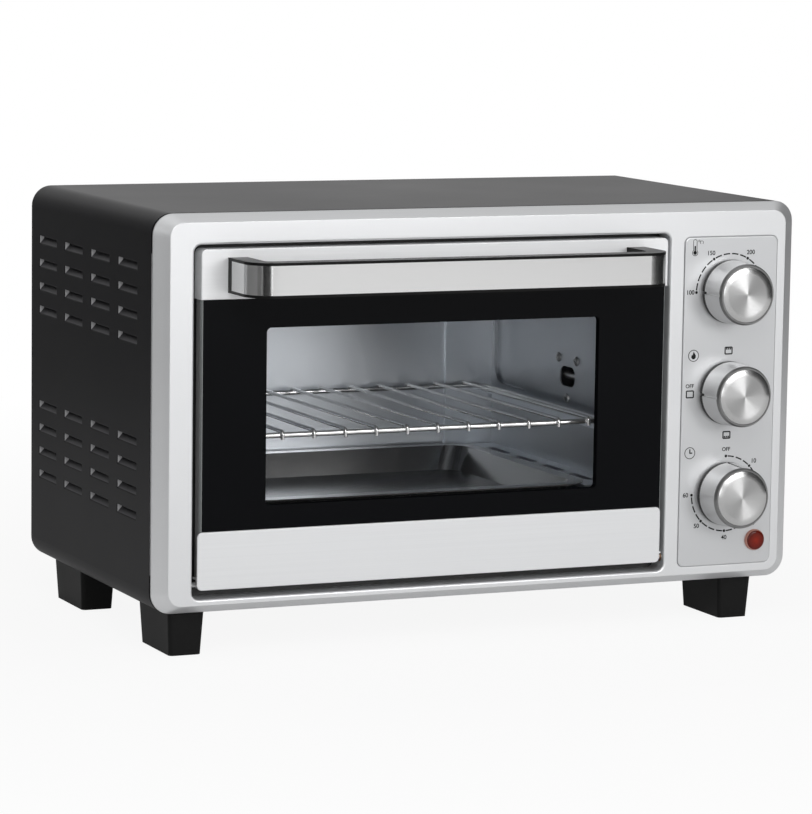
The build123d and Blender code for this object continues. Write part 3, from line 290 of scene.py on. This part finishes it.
def platedWire(name, tone, rough, metal=0.9):
    finish = Finish(name)
    haze = finish.noise(plating["haze"], 3)
    draw = finish.noise(plating["draw"], 2)
    colour = finish.mix(haze, grey(tone * plating["dull"]), grey(tone, plating["tint"]))
    return finish.surface(Base_Color=colour, Metallic=metal, Roughness=rough + 0.1 * (haze - 0.4) + 0.04 * (draw - 0.5))


tray = {"dark": grey(0.30), "light": grey(0.38, (0, 0.001, 0.006)), "haze": 18, "speck": 1800, "metal": 0.85,
        "rough": 0.2, "depth": 0.002 * mm}


def trayCoat(name):
    finish = Finish(name)
    haze = finish.noise(tray["haze"], 4)
    speck = finish.noise(tray["speck"], 2)
    tone = finish.mix(0.5 * haze + 0.5 * speck, tray["dark"], tray["light"])
    return finish.surface(Base_Color=tone, Metallic=tray["metal"], Roughness=tray["rough"] + 0.08 * (haze - 0.5),
                          Normal=finish.bump(speck, tray["depth"]))


heater = {"dark": (0.10, 0.085, 0.075, 1), "light": (0.30, 0.28, 0.27, 1), "stain": 30, "draw": (60, 900, 900),
          "metal": 0.9, "rough": 0.42, "depth": 0.02 * mm}


def heaterSheath(name):
    finish = Finish(name)
    stain = finish.noise(heater["stain"], 4)
    draw = finish.noise(1, 3, finish.stretched(heater["draw"]))
    tone = finish.mix(stain, heater["dark"], heater["light"])
    return finish.surface(Base_Color=tone, Metallic=heater["metal"], Roughness=heater["rough"] + 0.2 * (stain - 0.5),
                          Normal=finish.bump(draw, heater["depth"]))


ceramic = {"dark": (0.70, 0.68, 0.62, 1), "light": (0.84, 0.82, 0.77, 1), "grain": 700, "rough": 0.6,
           "depth": 0.03 * mm}


def plainCeramic(name):
    finish = Finish(name)
    grain = finish.noise(ceramic["grain"], 3)
    tone = finish.mix(grain, ceramic["dark"], ceramic["light"])
    return finish.surface(Base_Color=tone, Roughness=ceramic["rough"] + 0.2 * (grain - 0.5),
                          Normal=finish.bump(grain, ceramic["depth"]))


# Door glass: clear in the window, printed black round it, with ground side edges
glass = {"left": 38.2 * mm, "right": 42.0 * mm, "above": 24.6 * mm, "below": 39.5 * mm, "corner": 2.6 * mm,
         "ground": 0.2 * mm, "smear": 16, "ink": 1200, "film": 0.03, "rough": 0.05, "gloss": 0.06,
         "dark": (0.0025, 0.0027, 0.0033, 1), "light": (0.0045, 0.0048, 0.006, 1),
         "groundDark": (0.34, 0.36, 0.36, 1), "groundLight": (0.46, 0.48, 0.48, 1)}


def printedGlass(name):
    finish = Finish(name)
    paneLow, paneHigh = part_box("door_glass")
    x, y, z = finish.axes()
    corner = glass["corner"]
    low, high = paneLow.z + glass["below"], paneHigh.z - glass["above"]
    left, right = paneLow.x + glass["left"], paneHigh.x - glass["right"]
    across = abs(x - middle(left, right)) - ((right - left) / 2 - corner)
    up = abs(z - middle(low, high)) - ((high - low) / 2 - corner)
    printed = (across.most(0) ** 2 + up.most(0) ** 2) ** 0.5 > corner
    smear = finish.noise(glass["smear"], 4)
    ink = finish.noise(glass["ink"], 2)
    tone = finish.mix(0.6 * ink + 0.4 * smear, glass["dark"], glass["light"])
    cut = abs(x - middle(paneLow.x, paneHigh.x)) > (paneHigh.x - paneLow.x) / 2 - glass["ground"]
    tone = finish.mix(cut, tone, finish.mix(ink, glass["groundDark"], glass["groundLight"]))
    return finish.surface(Base_Color=tone, Roughness=glass["rough"] + 0.05 * smear,
                          Alpha=printed.most(glass["film"] + 0.02 * smear), Specular_IOR_Level=glass["gloss"])


# Door frame: black enamel, with bare steel on its two outer sides
enamel = {"dark": 0.004, "light": 0.008, "bareDark": 0.5, "bareLight": 0.6, "bare": 0.3 * mm, "bareMetal": 0.6,
          "grain": 1400, "rough": 0.35, "gloss": 0.2}


def frameCoat(name):
    finish = Finish(name)
    low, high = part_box("door_frame")
    x, y, z = finish.axes()
    bare = abs(x - middle(low.x, high.x)) > (high.x - low.x) / 2 - enamel["bare"]
    pits = finish.noise(enamel["grain"], 2)
    black = finish.mix(pits, grey(enamel["dark"]), grey(enamel["light"]))
    steel = finish.mix(pits, grey(enamel["bareDark"]), grey(enamel["bareLight"]))
    return finish.surface(Base_Color=finish.mix(bare, black, steel), Metallic=enamel["bareMetal"] * bare,
                          Roughness=enamel["rough"] + 0.1 * (pits - 0.5), Specular_IOR_Level=enamel["gloss"])


# Pilot lamp lens, with a painted reflection: a pinkish glint painted round its rim
lamp = {"deep": (0.03, 0.001, 0.0005, 1), "bright": (0.24, 0.014, 0.003, 1), "edge": (0.42, 0.20, 0.16, 1), "rim": 0.1,
        "flutes": 420, "rough": 0.1, "gloss": 0.3, "glow": 0.15}


def lampLens(name):
    finish = Finish(name)
    low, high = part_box("lamp_lens")
    x, y, z = finish.axes()
    centre = middle(low, high)
    radius = ((x - centre.x) ** 2 + (z - centre.z) ** 2) ** 0.5
    flutes = finish.noise(lamp["flutes"], 2)
    fade = 1 - radius / ((high.x - low.x) / 2)
    # Painted reflection: the rim is painted pinkish as a glint
    rim = fade < lamp["rim"]
    tone = finish.mix(rim, finish.mix(fade * 0.9 + 0.25 * flutes, lamp["deep"], lamp["bright"]), lamp["edge"])
    return finish.surface(Base_Color=tone, Roughness=lamp["rough"] + 0.08 * flutes, Specular_IOR_Level=lamp["gloss"],
                          Emission_Color=tone, Emission_Strength=lamp["glow"])


braid = {"dark": (0.42, 0.40, 0.35, 1), "light": (0.70, 0.68, 0.62, 1), "scale": 420, "stray": 3.0, "rough": 0.75,
         "depth": 0.1 * mm}


def wovenSleeve(name):
    finish = Finish(name)
    inputs = {"Vector": finish.place(), "Scale": braid["scale"], "Distortion": braid["stray"]}
    weave = finish.add("TexWave", {"wave_type": "BANDS"}, inputs)
    tone = finish.mix(weave, braid["dark"], braid["light"])
    return finish.surface(Base_Color=tone, Roughness=braid["rough"] + 0.1 * (weave - 0.5),
                          Normal=finish.bump(weave, braid["depth"]))


bronze = {"dark": (0.45, 0.24, 0.13, 1), "light": (0.72, 0.42, 0.26, 1), "tarnish": 70, "rough": 0.28}


def bushBronze(name):
    finish = Finish(name)
    tarnish = finish.noise(bronze["tarnish"], 3)
    return finish.surface(Base_Color=finish.mix(tarnish, bronze["dark"], bronze["light"]), Metallic=1.0,
                          Roughness=bronze["rough"] + 0.2 * tarnish)


def dress(material, *names):
    for name in names:
        for slot in nodes[name].material_slots:
            slot.material = material


dress(silverPaint("fasciaSilver", silver), "front_fascia")
dress(silverPaint("panelSilver", panelSilver), "control_panel")
dress(brushedMetal("topTrimSilver", topTrim), "door_top_trim")
dress(brushedMetal("trimSilver", trim), "door_bottom_trim")
dress(brushedMetal("handleSteel", handle), "handle_strip")
for knob in knobNames:
    dress(knobSleeve(knob + "Sleeve", knob + "_knob"), knob + "_knob")
dress(powderCoat("casingCoat"), "outer_casing", "rear_panel", "base_plate")
dress(grainedPlastic("handlePlastic", 0.005, 0.010, 0.34, 0.1), "handle_body")
dress(grainedPlastic("footPlastic", 0.004, 0.009, 0.45, 0.15), "foot_front_left", "foot_front_right", "foot_rear_left",
      "foot_rear_right", "cord_gland", "lamp_body")
dress(grainedPlastic("controlCase", 0.06, 0.11, 0.5), "thermostat", "mode_switch", "timer")
dress(grainedPlastic("terminalPlastic", 0.62, 0.74, 0.5), "terminal_block")
dress(frameCoat("frameCoat"), "door_frame")
# Painted shade: the side walls are a darker copy of the back wall's galvanised steel
dress(galvanised("sideLiningShaded", lining["sideShadeShare"]), "cavity_left_wall", "cavity_right_wall")
dress(galvanised("liningSteel"), "cavity_back_wall", "cavity_floor", "cavity_roof", "rack_rail_left", "rack_rail_right",
      "tray_rail_left", "tray_rail_right")
dress(platedWire("rackPlate", 0.95, 0.18), "wire_rack")
# Painted shade: the sensor bracket is painted near black, as the dark hole behind the bulb
dress(platedWire("bracketShadeBlack", 0.03, 0.4, 0.3), "sensor_bracket")
screwPlate = platedWire("screwPlate", 0.62, 0.3)
dress(screwPlate, "handle_screws", "control_nuts", "thermostat_bulb", "hinge_pins",
      *[knob + "_shaft" for knob in knobNames])
dress(trayCoat("trayCoat"), "baking_tray")
dress(heaterSheath("heaterSheath"), "upper_heater_rods", "lower_heater_rods")
dress(plainCeramic("bushCeramic"), "heater_bushes")
dress(printedGlass("printedGlass"), "door_glass")
dress(lampLens("lampLens"), "lamp_lens")
dress(wovenSleeve("leadSleeve"), "wiring_leads")
dress(bushBronze("bushBronze"), "hinge_bushes")
print("finishes on the CAD nodes: done")


def linked(name, mesh, material=None):
    data = bpy.data.meshes.new(name)
    mesh.to_mesh(data)
    mesh.free()
    if material:
        data.materials.append(material)
    piece = bpy.data.objects.new(name, data)
    bpy.context.scene.collection.objects.link(piece)
    return piece


def lathe(mesh, profile, sides):  # rings of (radius, height) about Z, closed at both ends
    rings = []
    for radius, height in profile:
        turns = [2 * math.pi * step / sides for step in range(sides)]
        rings.append([mesh.verts.new((radius * math.cos(turn), radius * math.sin(turn), height)) for turn in turns])
    for below, above in zip(rings, rings[1:]):
        for here in range(sides):
            there = (here + 1) % sides
            mesh.faces.new((below[here], below[there], above[there], above[here]))
    mesh.faces.new(rings[0][::-1])
    mesh.faces.new(rings[-1])


# Knob faces: turned discs, made about their own Z axis so that the grain runs round it
knobFace = {"tone": 0.63, "rough": 0.25, "grain": 0.93, "grainTurn": 0.25, "rings": 5200, "rise": 0.18 * mm,
            "edge": 0.22 * mm, "shares": (0.75, 0.5, 0.25, 0.05), "sides": 96, "flat": 0.9}


def spunMetal(name):
    finish = Finish(name)
    x, y, z = finish.axes()
    radius = (x ** 2 + y ** 2) ** 0.5
    rings = finish.noise(1, 3, finish.add("CombineXYZ", None, [radius * knobFace["rings"], 0.0, 0.0]))
    tone = finish.mix(rings, grey(knobFace["tone"] * 0.9), grey(knobFace["tone"] * 1.08))
    return finish.surface(Base_Color=tone, Metallic=1.0, Roughness=knobFace["rough"] + 0.1 * (rings - 0.5),
                          Anisotropic=knobFace["grain"], Anisotropic_Rotation=knobFace["grainTurn"])


def turnedDisc(knob, material):
    low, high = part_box(knob + "_knob_cap")
    radius = (high.x - low.x) / 2
    deep = high.y - low.y
    edge = knobFace["edge"]
    profile = [(radius, 0), (radius, deep - edge), (radius - edge, deep)]
    profile += [(radius * share, deep + knobFace["rise"] * (1 - share)) for share in knobFace["shares"]]
    mesh = bmesh.new()
    lathe(mesh, profile, knobFace["sides"])
    disc = linked(knob + "Face", mesh, material)
    for face in disc.data.polygons:
        face.use_smooth = len(face.vertices) == 4 and face.normal.z > knobFace["flat"]
    seat = Matrix.Translation((middle(low.x, high.x), high.y, middle(low.z, high.z)))
    disc.matrix_world = seat @ Matrix.Rotation(math.pi / 2, 4, "X")
    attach(disc, knob + "_control")
    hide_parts(knob + "_knob_cap")


spun = spunMetal("spunFace")
for knob in knobNames:
    turnedDisc(knob, spun)
print("knob faces: done")


# Screws: domed heads with a cross recess, one for each solid of a node. Rings are shares of a head's radius and height
dome = {"rings": [(1.0, 0.0), (1.0, 0.3), (0.95, 0.55), (0.8, 0.8), (0.5, 0.96), (0.1, 1.0)], "sides": 32, "arm": 0.55,
        "slot": 0.13, "floor": 0.45, "apart": 9 * mm, "turn": 37, "weld": 0.002 * mm}
screwHeads = {
    "rear_screws": {"out": (0, 1, 0), "head": 1.8 * mm, "shank": 1.5 * mm},
    "base_screws": {"out": (0, 0, -1), "head": 1.8 * mm, "shank": 1.5 * mm},
    "foot_screws": {"out": (0, 0, -1), "head": 3.0 * mm, "shank": 2.0 * mm},
    "sensor_screws": {"out": (-1, 0, 0), "head": 1.4 * mm, "shank": 1.5 * mm},
}


def solidBoxes(node, flat):  # low and high corners of each solid, told apart across the screws
    boxes = []
    for vertex in nodes[node].data.vertices:
        for low, high in boxes:
            if all(abs(vertex.co[side] - low[side]) < dome["apart"] for side in flat):
                for side in range(3):
                    low[side] = min(low[side], vertex.co[side])
                    high[side] = max(high[side], vertex.co[side])
                break
        else:
            boxes.append((vertex.co.copy(), vertex.co.copy()))
    return boxes


def crossHead(radius, head, shank, length):  # seat at zero, with Z outwards
    mesh = bmesh.new()
    profile = [(shank, head - length), (shank, 0.0)]
    lathe(mesh, profile + [(radius * wide, head * tall) for wide, tall in dome["rings"]], dome["sides"])
    body = linked("screwBody", mesh)
    mesh = bmesh.new()
    arm, slot = radius * dome["arm"], radius * dome["slot"]
    quarter = [(arm, -slot), (arm, slot), (slot, slot)]
    corners = [Matrix.Rotation(math.pi / 2 * step, 2) @ Vector(corner) for step in range(4) for corner in quarter]
    base = mesh.faces.new([mesh.verts.new((x, y, head * dome["floor"])) for x, y in corners])
    raised = bmesh.ops.extrude_face_region(mesh, geom=[base])["geom"]
    bmesh.ops.translate(mesh, vec=(0, 0, head), verts=[part for part in raised if isinstance(part, bmesh.types.BMVert)])
    bmesh.ops.recalc_face_normals(mesh, faces=mesh.faces)
    tool = linked("screwCross", mesh)
    cut = body.modifiers.new("cross", "BOOLEAN")
    cut.operation, cut.object, cut.solver = "DIFFERENCE", tool, "EXACT"
    shaped = bpy.data.meshes.new_from_object(body.evaluated_get(bpy.context.evaluated_depsgraph_get()))
    for spare in (body, tool):
        bpy.data.objects.remove(spare)
    return shaped


for node, kind in screwHeads.items():
    outward = Vector(kind["out"])
    along = [side for side in range(3) if kind["out"][side]][0]
    flat = [side for side in range(3) if side != along]
    boxes = solidBoxes(node, flat)
    low, high = boxes[0]
    shaped = crossHead((high[flat[0]] - low[flat[0]]) / 2, kind["head"], kind["shank"], high[along] - low[along])
    upright = Vector((0, 0, 1)).rotation_difference(outward).to_matrix().to_4x4()
    mesh = bmesh.new()
    for count, (low, high) in enumerate(boxes):
        seat = middle(low, high) + outward * ((high[along] - low[along]) / 2 - kind["head"])
        turn = Matrix.Rotation(math.radians(dome["turn"] * count), 4, "Z")
        screw = shaped.copy()
        screw.transform(Matrix.Translation(seat) @ upright @ turn)
        mesh.from_mesh(screw)
    bmesh.ops.remove_doubles(mesh, verts=mesh.verts, dist=dome["weld"])
    piece = linked(node + "Heads", mesh, screwPlate)
    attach(piece, "housing")
    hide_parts(node)
print("screws: done")


# Printed marks on the control panel, as thin ink shapes in the panel's plane
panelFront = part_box("control_panel")[0].y
ink = {"proud": 0.05 * mm, "sunk": 0.03 * mm, "dotRing": 22.2 * mm, "numberRing": 26.2 * mm, "dot": 0.85 * mm,
       "dotSides": 20, "dash": 0.8 * mm, "dashTurn": 11, "dashGap": 3.2, "dashStep": 3, "line": 0.75 * mm,
       "numberSize": 3.6 * mm, "offSize": 3.1 * mm, "bold": 0.07 * mm, "dark": 0.006, "light": 0.014, "grain": 2600,
       "rough": 0.5, "gloss": 0.15}


def printInk(name):
    finish = Finish(name)
    grain = finish.noise(ink["grain"], 2)
    tone = finish.mix(grain, grey(ink["dark"]), grey(ink["light"]))
    rough = ink["rough"] + 0.15 * (grain - 0.5)
    return finish.surface(Base_Color=tone, Roughness=rough, Specular_IOR_Level=ink["gloss"])


def shifted(centre, x, z):
    return centre[0] + x, centre[1] + z


def inkPrism(mesh, outline):
    front = [mesh.verts.new((x, panelFront - ink["proud"], z)) for x, z in outline]
    back = [mesh.verts.new((x, panelFront + ink["sunk"], z)) for x, z in outline]
    mesh.faces.new(front)
    mesh.faces.new(back[::-1])
    for here in range(len(outline)):
        there = (here + 1) % len(outline)
        mesh.faces.new((front[there], front[here], back[here], back[there]))


def inkLine(mesh, start, end, width):
    start, end = Vector(start), Vector(end)
    side = (end - start).orthogonal().normalized() * width / 2
    inkPrism(mesh, [start + side, start - side, end - side, end + side])


def inkDot(mesh, centre, radius):
    turns = [2 * math.pi * step / ink["dotSides"] for step in range(ink["dotSides"])]
    inkPrism(mesh, [shifted(centre, radius * math.cos(turn), radius * math.sin(turn)) for turn in turns])


def clockPoint(centre, radius, degrees):  # degrees clockwise from twelve
    turn = math.radians(degrees)
    return Vector(shifted(centre, radius * math.sin(turn), radius * math.cos(turn)))


def inkArc(mesh, centre, radius, start, end, width, step):
    count = max(1, round(abs(end - start) / step))
    turns = [start + (end - start) * place / count for place in range(count + 1)]
    outer = [clockPoint(centre, radius + width / 2, turn) for turn in turns]
    inner = [clockPoint(centre, radius - width / 2, turn) for turn in turns]
    for here in range(count):
        inkPrism(mesh, [outer[here], outer[here + 1], inner[here + 1], inner[here]])


def inkText(mesh, words, centre, size):
    curve = bpy.data.curves.new("number", "FONT")
    curve.body = words
    curve.size = size
    curve.align_x = "CENTER"
    curve.align_y = "CENTER"
    curve.extrude = (ink["proud"] + ink["sunk"]) / 2
    curve.offset = ink["bold"]
    carrier = bpy.data.objects.new("number", curve)
    shape = bpy.data.meshes.new_from_object(carrier)
    upright = Matrix.Translation((centre[0], panelFront + (ink["sunk"] - ink["proud"]) / 2, centre[1]))
    shape.transform(upright @ Matrix.Rotation(math.pi / 2, 4, "X"))
    mesh.from_mesh(shape)
    bpy.data.objects.remove(carrier)
    bpy.data.curves.remove(curve)
    bpy.data.meshes.remove(shape)


def dialScale(mesh, centre, marks):  # a dot and a number at each stop, with dashes between the stops
    for place, words in marks:
        size = ink["offSize" if words == "OFF" else "numberSize"]
        inkDot(mesh, clockPoint(centre, ink["dotRing"], place), ink["dot"])
        inkText(mesh, words, clockPoint(centre, ink["numberRing"], place), size)
    gap = ink["dashGap"]
    stops = [place for place, words in marks]
    for first, last in zip(stops, stops[1:]):
        count = round((last - first) / (ink["dashTurn"] + gap))
        dash = (last - first - gap * (count + 1)) / count
        for step in range(count):
            start = first + gap + step * (dash + gap)
            inkArc(mesh, centre, ink["dotRing"], start, start + dash, ink["dash"], ink["dashStep"])


def inkPiece(name, mesh, material):
    bmesh.ops.recalc_face_normals(mesh, faces=mesh.faces)
    piece = linked(name, mesh, material)
    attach(piece, "housing")


def knobMiddle(name):
    low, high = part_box(name + "_shaft")
    return middle(low.x, high.x), middle(low.z, high.z)


# Temperature dial, with a thermometer and its degree sign
inkBlack = printInk("inkBlack")
tempDial = {"marks": [(-90, "100"), (-30, "150"), (30, "200"), (90, "250")], "icon": (-23.7 * mm, 26.6 * mm)}
thermometer = {"foot": -3.4 * mm, "bulb": 1.15 * mm, "level": 0.6 * mm, "column": 0.9 * mm, "wall": 1.15 * mm,
               "low": -2.4 * mm, "high": 3.2 * mm, "line": 0.34 * mm, "ring": 1.75 * mm, "step": 20}
degreeSign = {"ring": (2.6 * mm, 3.4 * mm), "ringRadius": 0.5 * mm, "ringLine": 0.26 * mm, "ringStep": 30,
              "letter": (4.3 * mm, 2.5 * mm), "letterRadius": 1.0 * mm, "letterLine": 0.3 * mm, "letterStep": 20}


def thermometerIcon(mesh, centre):
    foot = shifted(centre, 0, thermometer["foot"])
    wall, line, step = [thermometer[size] for size in ("wall", "line", "step")]
    inkDot(mesh, foot, thermometer["bulb"])
    inkLine(mesh, foot, shifted(centre, 0, thermometer["level"]), thermometer["column"])
    for x in (-wall, wall):
        inkLine(mesh, shifted(centre, x, thermometer["low"]), shifted(centre, x, thermometer["high"]), line)
    inkArc(mesh, shifted(centre, 0, thermometer["high"]), wall, -90, 90, line, step)
    inkArc(mesh, foot, thermometer["ring"], 45, 315, line, step)
    ring, letter = [shifted(centre, *degreeSign[part]) for part in ("ring", "letter")]
    inkArc(mesh, ring, degreeSign["ringRadius"], 0, 360, degreeSign["ringLine"], degreeSign["ringStep"])
    inkArc(mesh, letter, degreeSign["letterRadius"], 220, 500, degreeSign["letterLine"], degreeSign["letterStep"])


tempCentre = knobMiddle("temp")
marks = bmesh.new()
dialScale(marks, tempCentre, tempDial["marks"])
thermometerIcon(marks, shifted(tempCentre, *tempDial["icon"]))
inkPiece("tempMarks", marks, inkBlack)

# Mode dial: a flame in a ring, and an oven at each stop with its lit heaters as bars
modeDial = {"icon": (-23.1 * mm, 22.6 * mm), "ovenRing": 24.9 * mm, "off": (-25.1 * mm, 4.7 * mm),
            "ovens": [(0, True, False), (90, True, True), (180, False, True), (270, False, False)]}
iconRing = {"radius": 3.3 * mm, "line": 0.42 * mm, "step": 12}
flame = [(0.1, 2.5), (0.9, 1.1), (1.5, 0.1), (1.45, -1.1), (0.8, -1.9), (0, -2.15), (-0.8, -1.9), (-1.45, -1.1),
         (-1.35, 0.0), (-0.8, 0.6), (-0.5, 0.2), (-0.35, 1.4)]  # in millimetres
oven = {"half": 4.6 * mm / 2, "tall": 0.85, "barUp": 0.45, "barOut": 0.55, "barHalf": 0.2, "bar": 0.9 * mm}


def ringIcon(mesh, centre):
    inkArc(mesh, centre, iconRing["radius"], 0, 360, iconRing["line"], iconRing["step"])


def ovenIcon(mesh, centre, upper, lower):
    half = oven["half"]
    tall, barUp, barOut, barHalf = [half * oven[share] for share in ("tall", "barUp", "barOut", "barHalf")]
    corners = [shifted(centre, x, z) for x, z in ((-half, -tall), (half, -tall), (half, tall), (-half, tall))]
    for here in range(4):
        inkLine(mesh, corners[here], corners[(here + 1) % 4], ink["line"])
    for z in [place for lit, place in ((upper, barUp), (lower, -barUp)) if lit]:
        for x in (-barOut, 0, barOut):
            bar = shifted(centre, x, z)
            inkLine(mesh, shifted(bar, -barHalf, 0), shifted(bar, barHalf, 0), oven["bar"])


modeCentre = knobMiddle("mode")
marks = bmesh.new()
flameCentre = shifted(modeCentre, *modeDial["icon"])
ringIcon(marks, flameCentre)
inkPrism(marks, [shifted(flameCentre, x * mm, z * mm) for x, z in flame])
for place, upper, lower in modeDial["ovens"]:
    ovenIcon(marks, clockPoint(modeCentre, modeDial["ovenRing"], place), upper, lower)
inkText(marks, "OFF", shifted(modeCentre, *modeDial["off"]), ink["offSize"])
inkPiece("modeMarks", marks, inkBlack)

# Timer dial, with a clock
timerDial = {"marks": [(0, "OFF"), (45, "10"), (90, "20"), (135, "30"), (180, "40"), (225, "50"), (270, "60")],
             "icon": (-24.0 * mm, 24.9 * mm)}
clockHands = {"tail": 0.2 * mm, "long": 2.3 * mm, "short": 1.6 * mm}
timerCentre = knobMiddle("timer")
marks = bmesh.new()
dialScale(marks, timerCentre, timerDial["marks"])
clock = shifted(timerCentre, *timerDial["icon"])
ringIcon(marks, clock)
inkLine(marks, shifted(clock, 0, -clockHands["tail"]), shifted(clock, 0, clockHands["long"]), ink["line"])
inkLine(marks, shifted(clock, -clockHands["tail"], 0), shifted(clock, clockHands["short"], 0), ink["line"])
inkPiece("timerMarks", marks, inkBlack)
print("printed marks: done")


# Studio: camera, pale floor, soft lights and dark cards at the sides
camera = {"place": (-0.92634, -2.06545, 0.42244), "yaw": 0.4175, "pitch": 0.1318, "roll": 0.0147, "lens": 170.8,
          "sensor": 36, "shift": (0.0008, 0.0016), "clip": (0.05, 60)}
view = bpy.data.objects.new("camera", bpy.data.cameras.new("camera"))
bpy.context.scene.collection.objects.link(view)
yaw, pitch, roll = camera["yaw"], camera["pitch"], camera["roll"]
ahead = Vector((math.sin(yaw) * math.cos(pitch), math.cos(yaw) * math.cos(pitch), -math.sin(pitch)))
right = Vector((math.cos(yaw), -math.sin(yaw), 0))
up = right.cross(ahead)
tiltRight = right * math.cos(roll) + up * math.sin(roll)
tiltUp = up * math.cos(roll) - right * math.sin(roll)
turn = Matrix((tiltRight, tiltUp, -ahead)).transposed().to_4x4()
view.matrix_world = Matrix.Translation(camera["place"]) @ turn
view.data.lens = camera["lens"]
view.data.sensor_width = camera["sensor"]
view.data.shift_x, view.data.shift_y = camera["shift"]
view.data.clip_start, view.data.clip_end = camera["clip"]
bpy.context.scene.camera = view

studio = {
    "key": {"place": (-0.87, -2.2, 1.83), "size": 1.2, "power": 20},
    "front": {"place": (0.9, -2.4, 0.9), "size": 1.0, "power": 15},
    "window": {"place": (-0.85, -2.6, 0.38), "size": 0.8, "power": 5},
}
aim = Vector((0, -0.02, 0.14))
for name, lightSet in studio.items():
    light = bpy.data.lights.new(name, "AREA")
    light.size = lightSet["size"]
    light.energy = lightSet["power"]
    holder = bpy.data.objects.new(name, light)
    holder.location = lightSet["place"]
    holder.rotation_euler = (aim - Vector(lightSet["place"])).to_track_quat("-Z", "Y").to_euler()
    bpy.context.scene.collection.objects.link(holder)

# The sky dims upwards to a band and lightens again to a ceiling. The object is lit by less of it than is seen
ambient = {"light": 0.3, "band": 0.3, "bandRise": (0.25, 0.6), "ceiling": 0.75, "ceilingRise": (0.72, 0.92)}
world = bpy.data.worlds.new("studio")
bpy.context.scene.world = world
world.use_nodes = True
sky = Finish("sky", world.node_tree)


def seenDirectly(finish, glossShare=1.0):  # 1 for rays that show the background
    rays = ("Is Camera Ray", "Is Glossy Ray", "Is Transmission Ray")
    straight, gloss, through = [finish.add("LightPath", output=ray) for ray in rays]
    return straight.most(glossShare * gloss).most(through)


height = sky.add("SeparateXYZ", None, [sky.add("TexCoord", output="Generated")], "Z")
darker = sky.ramp(height, *ambient["bandRise"], "SMOOTHSTEP")
lighter = sky.ramp(height, *ambient["ceilingRise"], "SMOOTHSTEP")
backdropLevel = 1 - (1 - ambient["band"]) * darker + (ambient["ceiling"] - ambient["band"]) * lighter
strength = ambient["light"] + (backdropLevel - ambient["light"]) * seenDirectly(sky)
backdrop = sky.add("Background", None, {"Color": grey(1), "Strength": strength})
sky.add("OutputWorld", None, [backdrop])


def stageSheet(name, corners, material):
    data = bpy.data.meshes.new(name)
    data.from_pydata(corners, [], [(0, 1, 2, 3)])
    data.materials.append(material)
    sheet = bpy.data.objects.new(name, data)
    bpy.context.scene.collection.objects.link(sheet)
    return sheet


# Paper floor, which glows as the sky does but keeps some of the shadow near the object
floor = {"dark": 0.88, "light": 0.92, "pulp": 40, "reach": 14.0, "shadowKept": 0.09, "glossKept": 0.25,
         "fadeFrom": 0.25, "fadeTo": 1.0}
paper = Finish("paper")
pulp = paper.noise(floor["pulp"], 3)
x, y, z = paper.axes()
shade = paper.ramp((x ** 2 + y ** 2) ** 0.5, floor["fadeTo"], floor["fadeFrom"])
matte = paper.add("BsdfDiffuse", None, {"Color": paper.mix(pulp, grey(floor["dark"]), grey(floor["light"]))})
glow = paper.add("Emission", None, {"Color": grey(1), "Strength": 1.0})
glowShare = seenDirectly(paper, floor["glossKept"]) * (1 - floor["shadowKept"] * shade)
paper.add("OutputMaterial", None, [paper.add("MixShader", None, [glowShare, matte, glow])])
reach = floor["reach"]
stageSheet("floor", [(-reach, -reach, 0), (reach, -reach, 0), (reach, reach, 0), (-reach, reach, 0)], paper.material)

# Dark cards, which only reflections show
card = {
    "right": {"ends": [(1.15, -1.7), (1.15, 1.6)], "high": 1.0, "tone": 0.03},
    "left": {"ends": [(-0.75, -0.33), (-0.75, 0.55)], "high": 0.8, "tone": 0.5},
    "leftFront": {"ends": [(-0.75, -0.33), (-0.75, -0.62)], "high": 0.32, "tone": 0.3},
    "leftBack": {"ends": [(-0.75, 0.55), (-0.35, 0.85)], "high": 0.8, "tone": 0.25},
    "nearCamera": {"ends": [(-0.75, -0.65), (-0.28, -0.80)], "high": 0.6, "tone": 0.03},
}
felt = {"fluff": 300, "dark": 0.8, "rough": 0.9}
for name, place in card.items():
    first, last = place["ends"]
    top = place["high"]
    finish = Finish(name + "Felt")
    fluff = finish.noise(felt["fluff"], 2)
    tone = finish.mix(fluff, grey(place["tone"] * felt["dark"]), grey(place["tone"]))
    finish.surface(Base_Color=tone, Roughness=felt["rough"], Specular_IOR_Level=0.0)
    corners = [(*first, 0.0), (*last, 0.0), (*last, top), (*first, top)]
    sheet = stageSheet(name + "Card", corners, finish.material)
    for rays in ("camera", "diffuse", "transmission", "shadow"):
        setattr(sheet, "visible_" + rays, False)
bpy.context.scene.view_settings.view_transform = "Standard"
print("studio: done")
